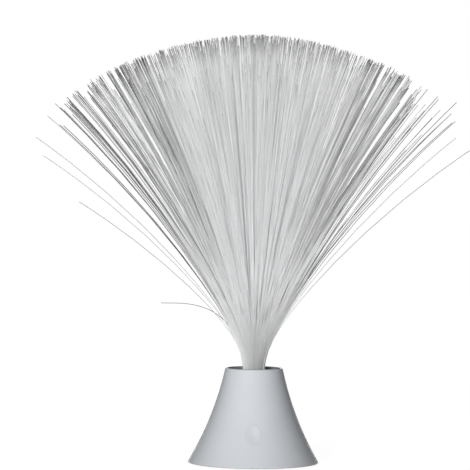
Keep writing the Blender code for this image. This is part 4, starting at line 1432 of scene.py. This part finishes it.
@dataclass
class Studio:
    """Camera, lamps, world and floor.

    The lamps are a broad key from the front left, and weaker ones behind and above.
    """

    camera_distance: float = 2.0
    camera_height: float = 0.21
    camera_roll: float = math.radians(0.55)
    aim: tuple[float, float, float] = (-0.0156, 0.0, 0.1756)
    lens: float = 199.2
    suns: tuple[Sun, ...] = (
        Sun("key", -18.5, 9.0, 3.35, 30),
        Sun("back", 180, 8, 1.8, 40),
        Sun("top", 0, 85, 0.6, 60),
    )
    sky: float = 0.08
    floor_radius: float = 6.0
    floor_steps: int = 96
    floor_white: float = 0.85
    floor_shade: float = 0.22
    floor_glow: float = 0.9

    def build(self) -> None:
        """Make all of it."""
        self.build_camera()
        for sun in self.suns:
            sun.build()
        self.build_world()
        self.build_floor()
        bpy.context.scene.view_settings.view_transform = "Standard"

    def build_camera(self) -> None:
        """Make the camera, a little higher than the base, so that the rim's far side shows."""
        data = bpy.data.cameras.new("camera")
        data.lens = self.lens
        camera = placed("camera", data)
        camera.location = (0, -self.camera_distance, self.camera_height)
        way = Vector(self.aim) - camera.location
        roll = Matrix.Rotation(self.camera_roll, 3, "Z")
        camera.rotation_euler = (way.to_track_quat("-Z", "Y").to_matrix() @ roll).to_euler()
        bpy.context.scene.camera = camera

    def build_world(self) -> None:
        """Make a world that is white to look at and a dim sky for the surfaces."""
        world = bpy.data.worlds.new("studio")
        bpy.context.scene.world = world
        world.use_nodes = True
        graph = Graph(world.node_tree)
        seen = self.seen(graph)
        dim = graph.add("ShaderNodeBackground", {}, {"Color": grey(1), "Strength": self.sky})
        white = graph.add("ShaderNodeBackground", {}, {"Color": grey(1), "Strength": 1.0})
        mixed = graph.add("ShaderNodeMixShader", {}, {0: seen, 1: dim, 2: white})
        graph.add("ShaderNodeOutputWorld", {}, {"Surface": mixed})

    @staticmethod
    def seen(graph: Graph) -> Signal:
        """1 on rays that show the background: to the eye, in gloss and through glass.

        Args:
            graph: The graph that needs it.

        Returns:
            The share.
        """
        rays = [
            graph.add("ShaderNodeLightPath", output=f"Is {kind} Ray")
            for kind in ("Camera", "Glossy", "Transmission")
        ]
        return (rays[0] + rays[1] + rays[2]).clamped()

    def build_floor(self) -> None:
        """Make a pale floor that keeps a faint shadow of the lamp."""
        made = bpy.data.materials.new("pale_floor")
        made.use_nodes = True
        graph = Graph(made.node_tree)
        seen = self.seen(graph)
        plain = graph.add("ShaderNodeBsdfDiffuse", {}, {"Color": grey(self.floor_white)})
        shade = graph.add("ShaderNodeBsdfDiffuse", {}, {"Color": grey(self.floor_shade)})
        glow = graph.add("ShaderNodeEmission", {}, {"Color": grey(1), "Strength": self.floor_glow})
        faint = graph.add("ShaderNodeAddShader", {}, {0: shade, 1: glow})
        mixed = graph.add("ShaderNodeMixShader", {}, {0: seen, 1: plain, 2: faint})
        graph.add("ShaderNodeOutputMaterial", {}, {"Surface": mixed})
        bm = bmesh.new()
        bmesh.ops.create_circle(bm, cap_ends=True, segments=self.floor_steps, radius=self.floor_radius)
        shape = bpy.data.meshes.new("floor")
        bm.to_mesh(shape)
        bm.free()
        shape.materials.append(made)
        placed("floor", shape)


def main() -> None:
    """Build the lamp's looks in order."""
    logging.basicConfig(level=logging.INFO, format="%(message)s")
    Studio().build()
    shop = Workshop()
    base = Base(shop)
    base.build_shell()
    base.build_button()
    FibreFan(shop).build()
    Carried(shop).build()


if __name__ == "__main__":
    main()
